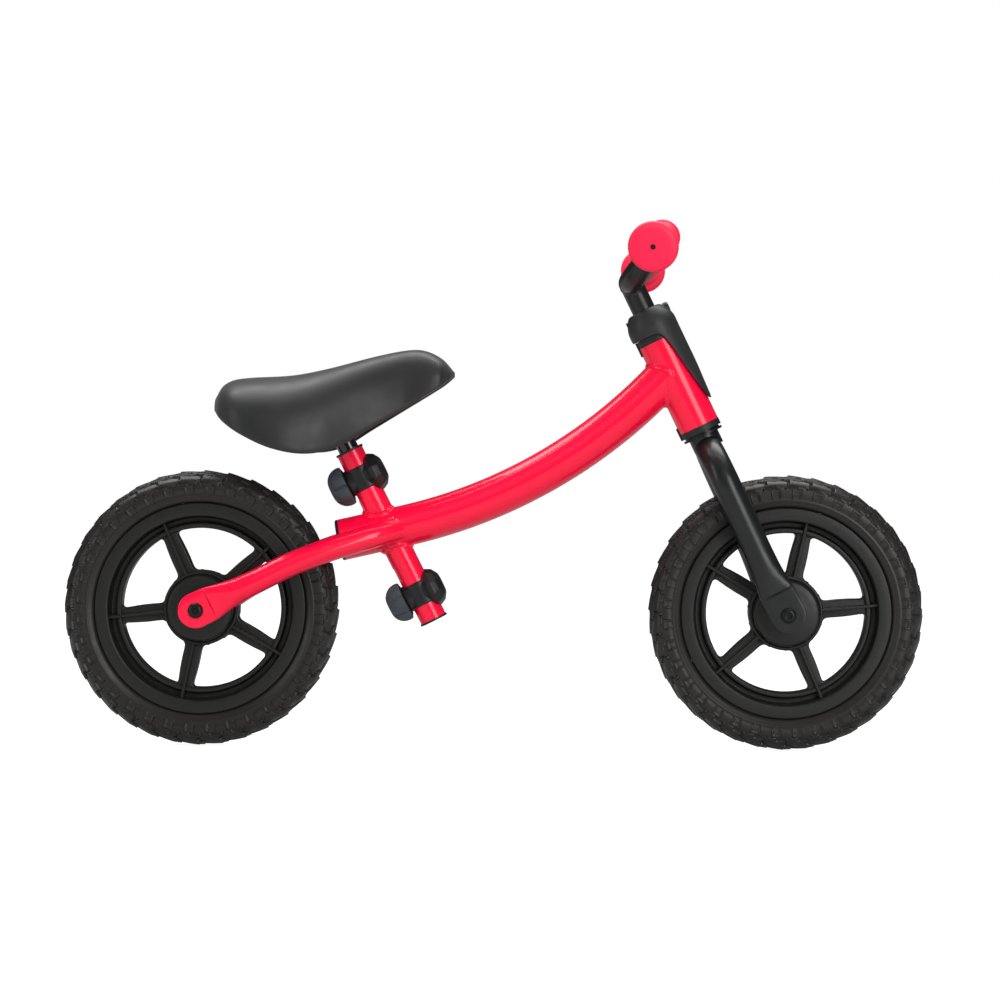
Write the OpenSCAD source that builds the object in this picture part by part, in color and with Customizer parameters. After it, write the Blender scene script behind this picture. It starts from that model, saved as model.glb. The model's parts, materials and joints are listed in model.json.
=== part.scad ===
// Child's balance bike: welded tube frame, two foam-tyred wheels, steering fork, height-adjustable
// handlebar and seat. +X forward, +Y to the rider's left, +Z up, ground at Z = 0.

/* [Wheels] */
// Tyre outer radius
tyre_r = 127; // [120:1:130]
// Tyre width
tyre_w = 46; // [40:1:50]
// Radius where tyre and rim meet
rim_r = 97.1; // [94:0.1:100]
// Distance between the axles
wheelbase = 539; // [520:1:560]
// Spokes in each wheel
spokes = 5; // [3:1:6]

/* [Frame] */
// Main tube outer radius
main_r = 19.05; // [18:0.05:19.2]
// Radius of the main tube's curve
curve_r = 471.6; // [450:0.1:500]
// Head tube outer radius
head_r = 19.25; // [19:0.05:19.5]
// Head tube length
head_len = 87.5; // [80:0.5:95]
// Head axis lean from vertical
head_tilt = 26; // [25:0.5:27]
// Seat tube outer radius
seat_tube_r = 12.5; // [12:0.1:13]
// Seat tube length between its sleeve flanges
seat_len = 172.3; // [165:0.1:180]
// Seat axis lean from vertical
seat_tilt = 27.1; // [26:0.1:28]
// Rear stay outer radius
stay_r = 11; // [10:0.5:12]

/* [Fork] */
// Fork leg radius
leg_r = 12; // [11:0.5:13]
// Half the spacing of the fork legs
leg_y = 40; // [38:0.5:44]
// Distance from the head tube's foot to the front axle
fork_len = 190; // [186:1:196]

/* [Handlebar] */
// Handlebar tube radius
bar_r = 11; // [10.5:0.1:11.5]
// Length of each grip
grip_len = 113.7; // [100:0.1:118]
// Grip end flange radius
grip_flange_r = 22; // [18:0.5:24]

/* [Seat] */
// Seat post radius
post_r = 9.5; // [9:0.1:9.8]
// Saddle length
saddle_len = 218.5; // [200:0.5:219]
// Saddle width at the back
saddle_w = 150; // [130:1:160]
// Width of the saddle's nose
nose_w = 62; // [50:1:70]

/* [Hidden] */
$fn = 96;

rear_axle_pos = [-wheelbase / 2, 0, tyre_r];
front_axle_pos = [wheelbase / 2, 0, tyre_r];
head_foot = [188.2, 0, 298.6];
seat_foot = [-55.9, 0, 118.5];
curve_centre = [-190.2, 0, 663.3];
curve_start = 13.1;   // slope of the main tube where its curve begins
curve_end = 48.4;     // slope where it meets the head axis
stub_len = 59;        // straight main tube behind the curve
main_wall = 1.8;
thin_wall = 1.5;
head_bore_r = 16.6;
steerer_r = 14.3;
run_gap = 0.06;       // radial clearance of a running fit
post_gap = 0.08;      // radial clearance of the seat post in its sleeves
arch_t = -62;         // centre of the fork's arch along the head axis
axle_r = 4;
bearing_r = 11;
bearing_w = 7;
bearing_y = 29;       // inner face of each wheel bearing
bearing_play = 0.3;   // gap from a bearing to the spacer beside it
stay_y = 48;          // rear dropout plates, centre distance from the mid-plane
fork_plate_y = 44;
plate_half = 3;       // half the dropout thickness
end_r = 16.3;         // round end of each dropout
bolt_head_r = 7;
clamp_low = 26.5;     // clamp centres along the seat tube
clamp_high = seat_len - 26.5;
stud_r = 3;
stud_gap = 0.4;
nut_r = 5.77;
nut_f = 14.5;         // rear face of each clamp nut, forward of the seat axis
post_low = 62;        // foot of the seat post along the seat tube
post_len = 143;
seat_travel = 43.6;
sleeve_len = 19;
cover_top = 118.4;    // top of the steering cover along the head axis
cover_low = head_len + 6.8;
shield_tip = 19.4;
shield_out_r = 22.6;
shield_in_r = 20.9;
button_t = 112;       // height of the release button along the head axis
button_r = 5.2;
button_foot = 17.6;   // inner face of the button, forward of the head axis
button_face = 22.8;   // outer face of the button, forward of the head axis
button_bore = 5.5;    // radius of the button's hole in the steering cover
screw_head_low = 18.2; // underside of the cover screw's head, behind the head axis
screw_head_r = 2.6;
screw_head_h = 2.2;
screw_r = 1.6;
stem_low = 18;        // foot of the stem tube along the head axis
stem_top = 147;       // crossbar's centre along the head axis
bar_lean = 36.2;      // crossbar plane, forward of vertical
bar_steps = [[10.3, 52.3, 36], [26.4, -62.3, 30]]; // straight, bend and bend radius of each half
grip_start = 3.2;
grip_end_wall = 4;

function unit(v) = v / norm(v);

// Places children with local +Z up the head axis and local +X forward of it
module on_head_axis(t = 0) {
    translate(head_foot) rotate([0, -head_tilt, 0]) translate([0, 0, t]) children();
}

// Places children with local +Z up the seat axis and local +X forward of it
module on_seat_axis(s = 0) {
    translate(seat_foot) rotate([0, -seat_tilt, 0]) translate([0, 0, s]) children();
}

// Turns a wheel's own +Z axis onto the bike's +Y axis at one axle
module on_axle(pos) {
    translate(pos) rotate([-90, 0, 0]) children();
}

module mirrored_y() {
    children();
    mirror([0, 1, 0]) children();
}

module ring(r_out, r_in, h) {
    difference() {
        cylinder(r = r_out, h = h);
        translate([0, 0, -1]) cylinder(r = r_in, h = h + 2);
    }
}

// A cylinder whose rims are rounded
module rounded_disc(r, h, edge) {
    rotate_extrude() union() {
        square([r - edge, h]);
        translate([0, edge]) square([r, h - 2 * edge]);
        translate([r - edge, edge]) circle(edge, $fn = 32);
        translate([r - edge, h - edge]) circle(edge, $fn = 32);
    }
}

// Moves children to the far end of a bend towards +X (or -X for a negative angle)
module past_bend(angle, radius) {
    offset_x = sign(angle) * radius;
    translate([offset_x, 0, 0]) rotate([0, angle, 0]) translate([-offset_x, 0, 0]) children();
}

// An ellipse of points round the path at p: half-width a across ref, half-height b towards it
function ellipse_ring(p, along, ref, a, b, sides) =
    let (t = unit(along), e1 = unit(cross(t, ref)), e2 = cross(t, e1))
        [for (i = [0:sides - 1]) p + a * cos(360 * i / sides) * e1 + b * sin(360 * i / sides) * e2];

// Direction of the path at its point k
function heading(path, k) = path[min(k + 1, len(path) - 1)] - path[max(k - 1, 0)];

// Smooth corner at b between a and c: n steps of a curve that starts and ends reach away from b
function smooth_corner(a, b, c, reach, n) =
    let (from = b + reach * unit(a - b), to = b + reach * unit(c - b))
        [for (k = [0:n]) let (u = k / n) (1 - u) * (1 - u) * from + 2 * u * (1 - u) * b + u * u * to];

// Faces between two neighbouring rings of points, starting at index a; clockwise from outside
function wall_faces(a, sides) =
    [for (i = [0:sides - 1]) let (n = (i + 1) % sides) [a + i, a + i + sides, a + n + sides, a + n]];

function flipped(faces) = [for (f = faces) [for (i = [len(f) - 1:-1:0]) f[i]]];

// Hollow tube skin from an outer and an inner list of rings; its far end is open or solid
module tube_skin(outer, inner, sides, solid_end) {
    m = len(outer);
    k = len(inner);
    base = m * sides;
    polyhedron(
        points = [for (one = concat(outer, inner)) for (p = one) p],
        faces = concat(
            [for (r = [0:m - 2]) each wall_faces(r * sides, sides)],
            flipped([for (r = [0:k - 2]) each wall_faces(base + r * sides, sides)]),
            [for (i = [0:sides - 1]) let (n = (i + 1) % sides) [i, n, base + n, base + i]],
            solid_end
                ? [[for (i = [0:sides - 1]) base + (k - 1) * sides + i],
                   [for (i = [sides - 1:-1:0]) (m - 1) * sides + i]]
                : flipped([for (i = [0:sides - 1]) let (n = (i + 1) % sides)
                      [(m - 1) * sides + i, (m - 1) * sides + n,
                       base + (k - 1) * sides + n, base + (k - 1) * sides + i]])));
}

// ---- frame ----

module main_tube_run(r, extra) {
    span = curve_end - curve_start;
    translate(curve_centre) rotate([90, 0, 0]) rotate([0, 0, -90 + curve_start]) {
        rotate_extrude(angle = span) translate([curve_r, 0]) circle(r);
        translate([curve_r, 0, 0]) rotate([90, 0, 0]) cylinder(r = r, h = stub_len + extra);
    }
}

module main_tube() {
    color("crimson") difference() {
        main_tube_run(main_r, 0);
        main_tube_run(main_r - main_wall, 5);
        on_head_axis(-30) cylinder(r = head_r, h = head_len + 60);
        on_seat_axis(-5) cylinder(r = seat_tube_r, h = seat_len + 10);
    }
}

module main_tube_plug() {
    color("black")
        translate(curve_centre) rotate([90, 0, 0]) rotate([0, 0, -90 + curve_start])
            translate([curve_r, -stub_len, 0]) rotate([90, 0, 0]) {
                rounded_disc(main_r, 3, 1.2);
                translate([0, 0, -12]) ring(main_r - main_wall, main_r - main_wall - 2.5, 12.5);
            }
}

module head_tube() {
    color("crimson") on_head_axis() ring(head_r, head_bore_r, head_len);
}

module seat_tube() {
    color("crimson") difference() {
        on_seat_axis() ring(seat_tube_r, seat_tube_r - thin_wall, seat_len);
        clamp_holes(stud_r + stud_gap);
    }
}

module clamp_holes(r) {
    for (s = [clamp_low, clamp_high])
        on_seat_axis(s) rotate([0, 90, 0]) translate([0, 0, -30]) cylinder(r = r, h = 60);
}

// Left rear stay: straight from the main tube, one bend, then flattened into its dropout
module stay_left_shape() {
    sides = 28;
    start = [-96, 23, 198.5];
    corner = [-176, 44, 176];
    crimp = [-245, stay_y, 139.6];
    flat = [-257, stay_y, 133.3];
    path = concat([start], smooth_corner(start, corner, crimp, 45, 8), [crimp]);
    rings = [for (k = [0:len(path) - 1])
        ellipse_ring(path[k], heading(path, k), [0, 0, 1], stay_r, stay_r, sides)];
    bore = [for (k = [0:len(path) - 2])
        ellipse_ring(path[k], heading(path, k), [0, 0, 1], stay_r - thin_wall, stay_r - thin_wall, sides)];
    pinch = [for (step = [[0.4, 6.5, 12.6], [1, plate_half, 14.4]])
        ellipse_ring(crimp + step[0] * (flat - crimp), flat - crimp, [0, 0, 1], step[1], step[2], sides)];
    difference() {
        tube_skin(concat(rings, pinch), bore, sides, true);
        translate(curve_centre) rotate([90, 0, 0]) rotate([0, 0, -90 + curve_start])
            translate([curve_r, 20, 0]) rotate([90, 0, 0]) cylinder(r = main_r, h = stub_len + 30);
    }
    dropout(rear_axle_pos, stay_y, [crimp[0] - 5, crimp[2] - 2.6], 14);
}

// Flattened tube end: a plate with a round end about the axle and a neck towards the tube
module dropout(axle, y, neck, neck_half) {
    reach = [neck[0] - axle[0], neck[1] - axle[2]];
    translate([axle[0], y + plate_half, axle[2]]) rotate([90, 0, 0])
        linear_extrude(2 * plate_half) difference() {
            union() {
                circle(end_r);
                rotate(atan2(reach[1], reach[0])) translate([0, -neck_half])
                    square([norm(reach), 2 * neck_half]);
            }
            circle(axle_r);
        }
}

module stay_left() { color("crimson") stay_left_shape(); }

module stay_right() { color("crimson") mirror([0, 1, 0]) stay_left_shape(); }

// Bearing cup: flange, spigot in the head tube and a small tab behind
module headset_cup(flange_h, tab_h) {
    rotate_extrude() translate([steerer_r + run_gap, 0]) square([head_r + 0.35 - steerer_r - run_gap, flange_h]);
    translate([0, 0, -9]) ring(head_bore_r, steerer_r + run_gap, 9.5);
    intersection() {
        translate([0, 0, -tab_h]) ring(head_r + 1.4, head_r, flange_h + tab_h);
        translate([-30, -3.5, -tab_h]) cube([25, 7, flange_h + tab_h]);
    }
}

module upper_headset_cup() {
    color("dimgray") on_head_axis(head_len) headset_cup(6.3, 7.5);
}

module lower_headset_cup() {
    color("dimgray") on_head_axis() mirror([0, 0, 1]) headset_cup(5.8, 6.5);
}

module seat_sleeve() {
    bore_r = post_r + post_gap;
    ring(seat_tube_r + 0.8, bore_r, 2);
    translate([0, 0, -sleeve_len]) ring(seat_tube_r - thin_wall, bore_r, sleeve_len + 0.5);
}

module seat_sleeve_top() { color("black") on_seat_axis(seat_len) seat_sleeve(); }

module seat_sleeve_bottom() { color("black") on_seat_axis() mirror([0, 0, 1]) seat_sleeve(); }

// Band round the seat tube with a domed nut housing in front and a bolt boss behind
module clamp_shape() {
    housing_r = 16.8;
    difference() {
        union() {
            translate([0, 0, -11]) cylinder(r = seat_tube_r + 1.6, h = 22);
            rotate([0, 90, 0]) cylinder(r = housing_r, h = nut_f);
            translate([nut_f, 0, 0]) rotate([0, 90, 0]) cylinder(r1 = housing_r, r2 = 12, h = 9.5);
            rotate([0, -90, 0]) cylinder(r = 9, h = seat_tube_r + 1.7);
        }
        translate([0, 0, -20]) cylinder(r = seat_tube_r, h = 40);
        rotate([0, 90, 0]) translate([0, 0, -25]) cylinder(r = stud_r + stud_gap, h = 46);
        translate([nut_f, 0, 0]) rotate([0, 90, 0]) cylinder(r = nut_r, h = 5, $fn = 6);
    }
}

module upper_clamp() { color("black") on_seat_axis(clamp_high) clamp_shape(); }

module lower_clamp() { color("black") on_seat_axis(clamp_low) clamp_shape(); }

module clamp_nuts() {
    color("silver") for (s = [clamp_low, clamp_high])
        on_seat_axis(s) translate([nut_f, 0, 0]) rotate([0, 90, 0]) difference() {
            cylinder(r = nut_r, h = 5, $fn = 6);
            translate([0, 0, -1]) cylinder(r = stud_r + run_gap, h = 7);
        }
}

// ---- axles ----

// Axle with a threaded socket in each end
module axle_rod(half) {
    difference() {
        translate([0, 0, -half]) cylinder(r = axle_r, h = 2 * half);
        for (side = [-1, 1])
            translate([0, 0, side * (half - 8)]) cylinder(r = 2.5, h = 20, center = true);
    }
}

module axle_spacers(gap_end) {
    start = bearing_y + bearing_w + bearing_play;
    for (side = [0, 1]) mirror([0, 0, side])
        translate([0, 0, start]) ring(7.5, axle_r, gap_end - start);
}

// Domed hex-socket bolts that clamp the dropouts to the axle
module axle_bolts(plate_out, rod_half) {
    shank = plate_out - rod_half + 16;
    for (side = [0, 1]) mirror([0, 0, side]) translate([0, 0, plate_out]) difference() {
        union() {
            rotate_extrude() intersection() {
                translate([0, -9.5]) circle(13.6);
                square([bolt_head_r, 6]);
            }
            translate([0, 0, rod_half - plate_out]) cylinder(r = axle_r, h = plate_out - rod_half + 0.1);
            translate([0, 0, -shank]) cylinder(r = 2.5, h = shank);
        }
        translate([0, 0, 1.6]) cylinder(r = 2.31, h = 6, $fn = 6);
    }
}

module rear_axle() { color("silver") on_axle(rear_axle_pos) axle_rod(stay_y - plate_half); }

module rear_axle_spacers() { color("gray") on_axle(rear_axle_pos) axle_spacers(stay_y - plate_half); }

module rear_axle_bolts() {
    color("black") on_axle(rear_axle_pos) axle_bolts(stay_y + plate_half, stay_y - plate_half);
}

module front_axle() { color("silver") on_axle(front_axle_pos) axle_rod(fork_plate_y - plate_half); }

module front_axle_spacers() {
    color("gray") on_axle(front_axle_pos) axle_spacers(fork_plate_y - plate_half);
}

module front_axle_bolts() {
    color("black") on_axle(front_axle_pos) axle_bolts(fork_plate_y + plate_half, fork_plate_y - plate_half);
}

// ---- wheels ----

module tyre() {
    round_r = 12;
    crown = 400;   // slight crown across the tread, as a circle of this radius
    rotate_extrude($fn = 128) intersection() {
        union() {
            translate([rim_r, -tyre_w / 2 + 3]) square([tyre_r - rim_r - round_r, tyre_w - 6]);
            for (side = [-1, 1]) translate([tyre_r - round_r, side * (tyre_w / 2 - round_r)]) circle(round_r);
            translate([tyre_r - round_r - 8, -tyre_w / 2 + round_r])
                square([round_r + 8, tyre_w - 2 * round_r]);
            translate([rim_r + 6, -tyre_w / 2]) square([tyre_r - rim_r - round_r - 6, tyre_w]);
        }
        translate([rim_r, -tyre_w / 2]) square([tyre_r - rim_r, tyre_w]);
        translate([tyre_r - crown, 0]) circle(crown, $fn = 256);
    }
}

// A band of the wheel from r_in to r_out, w wide
module wheel_band(r_in, r_out, w) {
    rotate_extrude() translate([r_in, -w / 2]) square([r_out - r_in, w]);
}

// One-piece wheel: stepped barrel, hub with bearing seats, ribbed spokes
module rim(phase) {
    barrel_in = 83.9;
    step_in = 78;
    web_in = 73.6;
    hub_r = 30.5;
    web_r = 34.5;
    bore_r = 8;
    spoke_w = 13;
    rib_w = 3;
    difference() {
        union() {
            wheel_band(barrel_in, rim_r, 38);
            wheel_band(step_in, barrel_in + 0.6, 28);
            wheel_band(web_in, step_in + 1.6, 18);
            wheel_band(bore_r, web_r, 24);
            wheel_band(bore_r, hub_r, 48);
            wheel_band(bore_r, 15, 2 * (bearing_y + bearing_w));
            for (i = [0:spokes - 1]) rotate(phase + i * 360 / spokes) {
                translate([hub_r - 0.5, -spoke_w / 2, -8]) cube([web_in + 2.4 - hub_r + 0.5, spoke_w, 16]);
                translate([hub_r - 2.5, -rib_w / 2, -11]) cube([step_in + 2 - hub_r + 2.5, rib_w, 22]);
            }
        }
        for (side = [0, 1]) mirror([0, 0, side])
            translate([0, 0, bearing_y]) cylinder(r = bearing_r, h = 12);
    }
}

module bearings() {
    for (side = [0, 1]) mirror([0, 0, side]) translate([0, 0, bearing_y]) difference() {
        ring(bearing_r, axle_r + run_gap, bearing_w);
        translate([0, 0, bearing_w - 0.4]) ring(9.2, 5.8, 1);
    }
}

module rear_tyre() { color("#2d2b28") on_axle(rear_axle_pos) tyre(); }

module rear_rim() { color("#262626") on_axle(rear_axle_pos) rim(-41.8); }

module rear_bearings() { color("silver") on_axle(rear_axle_pos) bearings(); }

module front_tyre() { color("#2d2b28") on_axle(front_axle_pos) tyre(); }

module front_rim() { color("#262626") on_axle(front_axle_pos) rim(-5.3); }

module front_bearings() { color("silver") on_axle(front_axle_pos) bearings(); }

// ---- fork and steering ----

// Half-ring that joins the two fork legs under the steerer
module fork_arch(r) {
    translate([0, 0, arch_t]) rotate([90, 0, 90])
        rotate_extrude(angle = 180) translate([leg_y, 0]) circle(r);
}

module steerer_tube() {
    low = arch_t + leg_y;
    color("black") on_head_axis() difference() {
        translate([0, 0, low]) cylinder(r = steerer_r, h = cover_top - 4 - low);
        translate([0, 0, low - 5]) cylinder(r = bar_r + run_gap, h = 200);
        fork_arch(leg_r);
        translate([0, 0, button_t]) rotate([0, 90, 0]) cylinder(r = stud_r, h = 30);
    }
}

module fork_crown() {
    color("black") on_head_axis() difference() {
        fork_arch(leg_r);
        fork_arch(leg_r - 2);
    }
}

module fork_leg(side) {
    length = fork_len + arch_t - 22;
    neck = head_foot + (arch_t - length + 10) * [-sin(head_tilt), 0, cos(head_tilt)];
    on_head_axis(arch_t) translate([0, side * leg_y, -length]) {
        ring(leg_r, leg_r - 2, length);
        cylinder(r = leg_r, h = 12);
    }
    dropout(front_axle_pos, side * fork_plate_y, [neck[0], neck[2]], 11);
}

module fork_leg_right() { color("black") fork_leg(-1); }

module fork_leg_left() { color("black") fork_leg(1); }

module crown_race() {
    color("black") on_head_axis() difference() {
        union() {
            translate([0, 0, -9.7]) cylinder(r = 19, h = 2);
            translate([0, 0, -8]) cylinder(r = 17, h = 1.9);
        }
        translate([0, 0, -20]) cylinder(r = steerer_r, h = 30);
    }
}

// Collar over the top of the head tube, with a tapering shield down its front
module steering_cover() {
    color("#3e3e3e") on_head_axis() difference() {
        union() {
            rotate_extrude() polygon([[0, cover_low], [22.2, cover_low], [shield_out_r, cover_low + 1.5],
                [shield_out_r, 102], [21.8, 106], [20.2, 111], [18, 115], [16, 117.6],
                [14, cover_top], [0, cover_top]]);
            intersection() {
                translate([0, 0, shield_tip]) ring(shield_out_r, shield_in_r, cover_low - shield_tip + 2);
                translate([0, 0, shield_tip]) rotate([90, 0, 90]) linear_extrude(30)
                    polygon([[-21, 77], [21, 77], [17, 22], [9, 4], [0, 0], [-9, 4], [-17, 22]]);
            }
        }
        translate([0, 0, 60]) cylinder(r = steerer_r, h = cover_top - 64);
        translate([0, 0, 60]) cylinder(r = bar_r + 0.4, h = 80);
        translate([0, 0, button_t]) rotate([0, 90, 0]) cylinder(r = button_bore, h = 30);
        translate([0, 0, button_t]) rotate([0, -90, 0]) cylinder(r = screw_r, h = 30);
        translate([-screw_head_low, 0, button_t]) rotate([0, -90, 0]) cylinder(r = screw_head_r, h = 10);
    }
}

module cover_screw() {
    color("black") on_head_axis(button_t) rotate([0, -90, 0]) difference() {
        union() {
            translate([0, 0, 14.5]) cylinder(r = screw_r, h = 5);
            translate([0, 0, screw_head_low]) cylinder(r = screw_head_r, h = screw_head_h);
        }
        translate([0, 0, screw_head_low + 1]) cylinder(r = 1.2, h = 3, $fn = 6);
    }
}

module release_button() {
    color("#2a2a2a") on_head_axis(button_t) rotate([0, 90, 0]) difference() {
        translate([0, 0, button_foot]) cylinder(r = button_r, h = button_face - button_foot);
        translate([0, 0, 16]) cylinder(r = 1.4, h = 5.5);
    }
}

// Pin in the steerer that the button slides on
module button_guide_pin() {
    color("silver") on_head_axis(button_t) rotate([0, 90, 0]) {
        translate([0, 0, 12]) cylinder(r = 1.3, h = 6.4);
        translate([0, 0, 12]) cylinder(r = stud_r, h = 1.2);
    }
}

// ---- handlebar ----

// Crossbar frame: local +Z lies in the bar's leaning plane, local +Y towards the left grip
module on_bar() {
    on_head_axis(stem_top) rotate([0, head_tilt + bar_lean, 0]) children();
}

// Turns local +Z towards the left grip and local +X up the bar's plane
module along_left() {
    multmatrix([[0, 1, 0, 0], [0, 0, 1, 0], [1, 0, 0, 0]]) children();
}

// Half of the crossbar's centreline in its own plane: [towards the left grip, up the plane]
function bar_walk(tail, p = [0, 0], a = 0, i = 0, n = 8) =
    i == len(bar_steps) ? [p, p + tail * [cos(a), sin(a)]] :
    let (q = p + bar_steps[i][0] * [cos(a), sin(a)],
         turn = bar_steps[i][1],
         r = bar_steps[i][2] * sign(turn),
         c = q + r * [-sin(a), cos(a)])
    concat([p], [for (k = [0:n - 1]) c + r * [sin(a + turn * k / n), -cos(a + turn * k / n)]],
           bar_walk(tail, c + r * [sin(a + turn), -cos(a + turn)], a + turn, i + 1, n));

module stem_tube() {
    color("black") difference() {
        on_head_axis(stem_low) ring(bar_r, bar_r - thin_wall, stem_top - stem_low);
        on_head_axis(stem_top) rotate([90, 0, 0]) cylinder(r = bar_r, h = 60, center = true);
    }
}

module handlebar_tube() {
    sides = 32;
    half = bar_walk(grip_start + grip_len - grip_end_wall);
    path = [for (k = [1 - len(half):len(half) - 1])
        let (p = half[abs(k)]) [0, sign(k) * p[0], p[1]]];
    outer = [for (k = [0:len(path) - 1])
        ellipse_ring(path[k], heading(path, k), [1, 0, 0], bar_r, bar_r, sides)];
    inner = [for (k = [0:len(path) - 1])
        ellipse_ring(path[k], heading(path, k), [1, 0, 0], bar_r - thin_wall, bar_r - thin_wall, sides)];
    color("black") on_bar() tube_skin(outer, inner, sides, false);
}

// Rubber grip: collar, ribbed sleeve and a rounded flange, blind at its outer end but for a vent
module grip_shape() {
    sleeve_r = 14.6;
    collar_r = 16.5;
    collar_w = 5;
    rib_r = 0.9;
    rib_count = 11;
    rib_pitch = 8.6;
    flange_w = 9;
    edge = 4;      // rounding of the flange
    vent_r = 2.3;
    flange_low = grip_len - flange_w;
    difference() {
        rotate_extrude() union() {
            square([collar_r, collar_w]);
            square([sleeve_r, grip_len - collar_w]);
            for (i = [0:rib_count - 1])
                translate([sleeve_r, 2 * collar_w + i * rib_pitch]) circle(rib_r, $fn = 24);
            translate([0, flange_low]) square([grip_flange_r - edge, flange_w]);
            translate([0, flange_low + edge]) square([grip_flange_r, flange_w - 2 * edge]);
            for (z = [flange_low + edge, grip_len - edge])
                translate([grip_flange_r - edge, z]) circle(edge, $fn = 48);
        }
        translate([0, 0, -1]) cylinder(r = bar_r, h = grip_len - grip_end_wall + 1);
        cylinder(r = vent_r, h = grip_len + 5);
    }
}

module grip_left_shape() {
    on_bar() along_left() translate([0, 0, bar_steps[0][0]]) past_bend(bar_steps[0][1], bar_steps[0][2])
        translate([0, 0, bar_steps[1][0]]) past_bend(bar_steps[1][1], bar_steps[1][2])
            translate([0, 0, grip_start]) grip_shape();
}

module grip_left() { color("#ff2350") grip_left_shape(); }

module grip_right() { color("#ff2350") mirror([0, 1, 0]) grip_left_shape(); }

// ---- seat ----

module seat_post() {
    slot_r = stud_r + stud_gap;
    color("black") on_seat_axis() difference() {
        translate([0, 0, post_low]) ring(post_r, post_r - thin_wall, post_len);
        for (s = [clamp_high - seat_travel, clamp_high])
            translate([-20, 0, s]) rotate([0, 90, 0]) cylinder(r = slot_r, h = 40);
        translate([-20, -slot_r, clamp_high - seat_travel]) cube([40, 2 * slot_r, seat_travel]);
    }
}

// Side view and plan of the saddle as [x, value] points, from its back to its nose
saddle_rear = -256.5;
saddle_nose = saddle_rear + saddle_len;
saddle_top = [[saddle_rear, 322], [-249, 333], [-235, 338.5], [-188, 342], [-157, 348], [-108, 361],
    [-79, 366.5], [-64, 365.5], [-49, 358], [saddle_nose, 346]];
saddle_skirt = [[saddle_rear, 310], [-246, 300], [-228, 288.5], [-201, 276.6], [-171, 271.6],
    [-144, 277], [-115, 294], [-50, 334], [saddle_nose, 343]];
rear_half = saddle_w / 2;
nose_half = nose_w / 2;
saddle_half = [[saddle_rear, 0.4 * rear_half], [-250, 0.7 * rear_half], [-232, 0.94 * rear_half],
    [-200, rear_half], [-165, 0.88 * rear_half], [-120, 0.3 * rear_half + 0.62 * nose_half],
    [-85, nose_half], [-52, 0.96 * nose_half], [-42, 0.7 * nose_half],
    [saddle_nose, 0.35 * nose_half]];

// Section of the saddle at one station: a flattened superellipse
function saddle_ring(x, sides) = [
    for (i = [0:sides - 1])
        let (a = 360 * (i + 0.5) / sides, high = lookup(x, saddle_top), low = lookup(x, saddle_skirt))
            [x, lookup(x, saddle_half) * sign(cos(a)) * pow(abs(cos(a)), 0.6),
             (high + low) / 2 + (high - low) / 2 * sign(sin(a)) * pow(abs(sin(a)), 0.8)]];

module saddle_loft() {
    sides = 32;
    stations = 28;
    step = (saddle_nose - saddle_rear) / stations;
    rings = [for (k = [0:stations]) saddle_ring(saddle_rear + k * step, sides)];
    polyhedron(
        points = [for (one = rings) for (p = one) p],
        faces = concat(
            [[for (i = [0:sides - 1]) i]],
            [for (k = [0:stations - 1]) for (i = [0:sides - 1])
                let (a = k * sides, n = (i + 1) % sides) [a + i, a + i + sides, a + n + sides, a + n]],
            [[for (i = [sides - 1:-1:0]) stations * sides + i]]));
}

pan_top = 315;
pan_low = 308;
pan_back = -195;    // centres and radii of the pan's two round ends
pan_back_r = 40;
pan_front = -112;
pan_front_r = 14;

// Plan outline of the pan under the saddle: two round ends and the sides that touch both
module pan_outline() {
    lean = asin((pan_back_r - pan_front_r) / (pan_front - pan_back));
    translate([pan_back, 0]) circle(pan_back_r);
    translate([pan_front, 0]) circle(pan_front_r);
    polygon([for (end = [[pan_back, pan_back_r, 1], [pan_front, pan_front_r, 1],
                         [pan_front, pan_front_r, -1], [pan_back, pan_back_r, -1]])
        [end[0] + end[1] * sin(lean), end[2] * end[1] * cos(lean)]]);
}

screw_spots = [[-208, 24], [-208, -24], [-118, 0]];

module saddle() {
    color("#3a3a3a") difference() {
        saddle_loft();
        translate([0, 0, 240]) linear_extrude(pan_top - 240) pan_outline();
        for (p = screw_spots) translate([p[0], p[1], pan_top - 1]) cylinder(r = 2, h = 11);
    }
}

module saddle_pan() {
    color("black") difference() {
        intersection() {
            union() {
                translate([0, 0, pan_low]) linear_extrude(pan_top - pan_low) pan_outline();
                on_seat_axis(182) cylinder(r = 14, h = 40);
            }
            translate([-300, -50, 200]) cube([300, 100, pan_top - 200]);
        }
        on_seat_axis(post_low) cylinder(r = post_r, h = post_len);
        for (p = screw_spots) translate([p[0], p[1], pan_low - 1]) cylinder(r = 2, h = 20);
    }
}

module saddle_screws() {
    color("silver") for (p = screw_spots) translate([p[0], p[1], pan_low]) difference() {
        union() {
            cylinder(r = 2, h = 17);
            translate([0, 0, -2.4]) cylinder(r = 4, h = 2.4);
        }
        translate([0, 0, -3]) cylinder(r = 1.4, h = 2, $fn = 6);
    }
}

// ---- clamp knobs ----

// Bolt, washer and knob lie along local +Z, pointing rearward from the seat axis
module behind_seat_tube(s) {
    on_seat_axis(s) rotate([0, -90, 0]) children();
}

// Lobed hand knob with a tapered cap and a blind hole for its bolt
module knob_shape(phase) {
    lobes = 6;
    lobe_r = 5.5;
    lobe_out = 12.4;   // lobe centres from the knob's axis
    core_r = 14.5;
    face = 16.5;
    body_h = 9.5;
    cap_h = 4.5;
    difference() {
        union() {
            translate([0, 0, face]) linear_extrude(body_h) union() {
                circle(core_r);
                rotate(phase) for (i = [0:lobes - 1])
                    rotate(i * 360 / lobes) translate([lobe_out, 0]) circle(lobe_r);
            }
            translate([0, 0, face + body_h]) cylinder(r1 = core_r + 0.5, r2 = core_r - 3.5, h = cap_h);
        }
        translate([0, 0, face - 6.5]) cylinder(r = stud_r, h = 15);
    }
}

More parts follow.
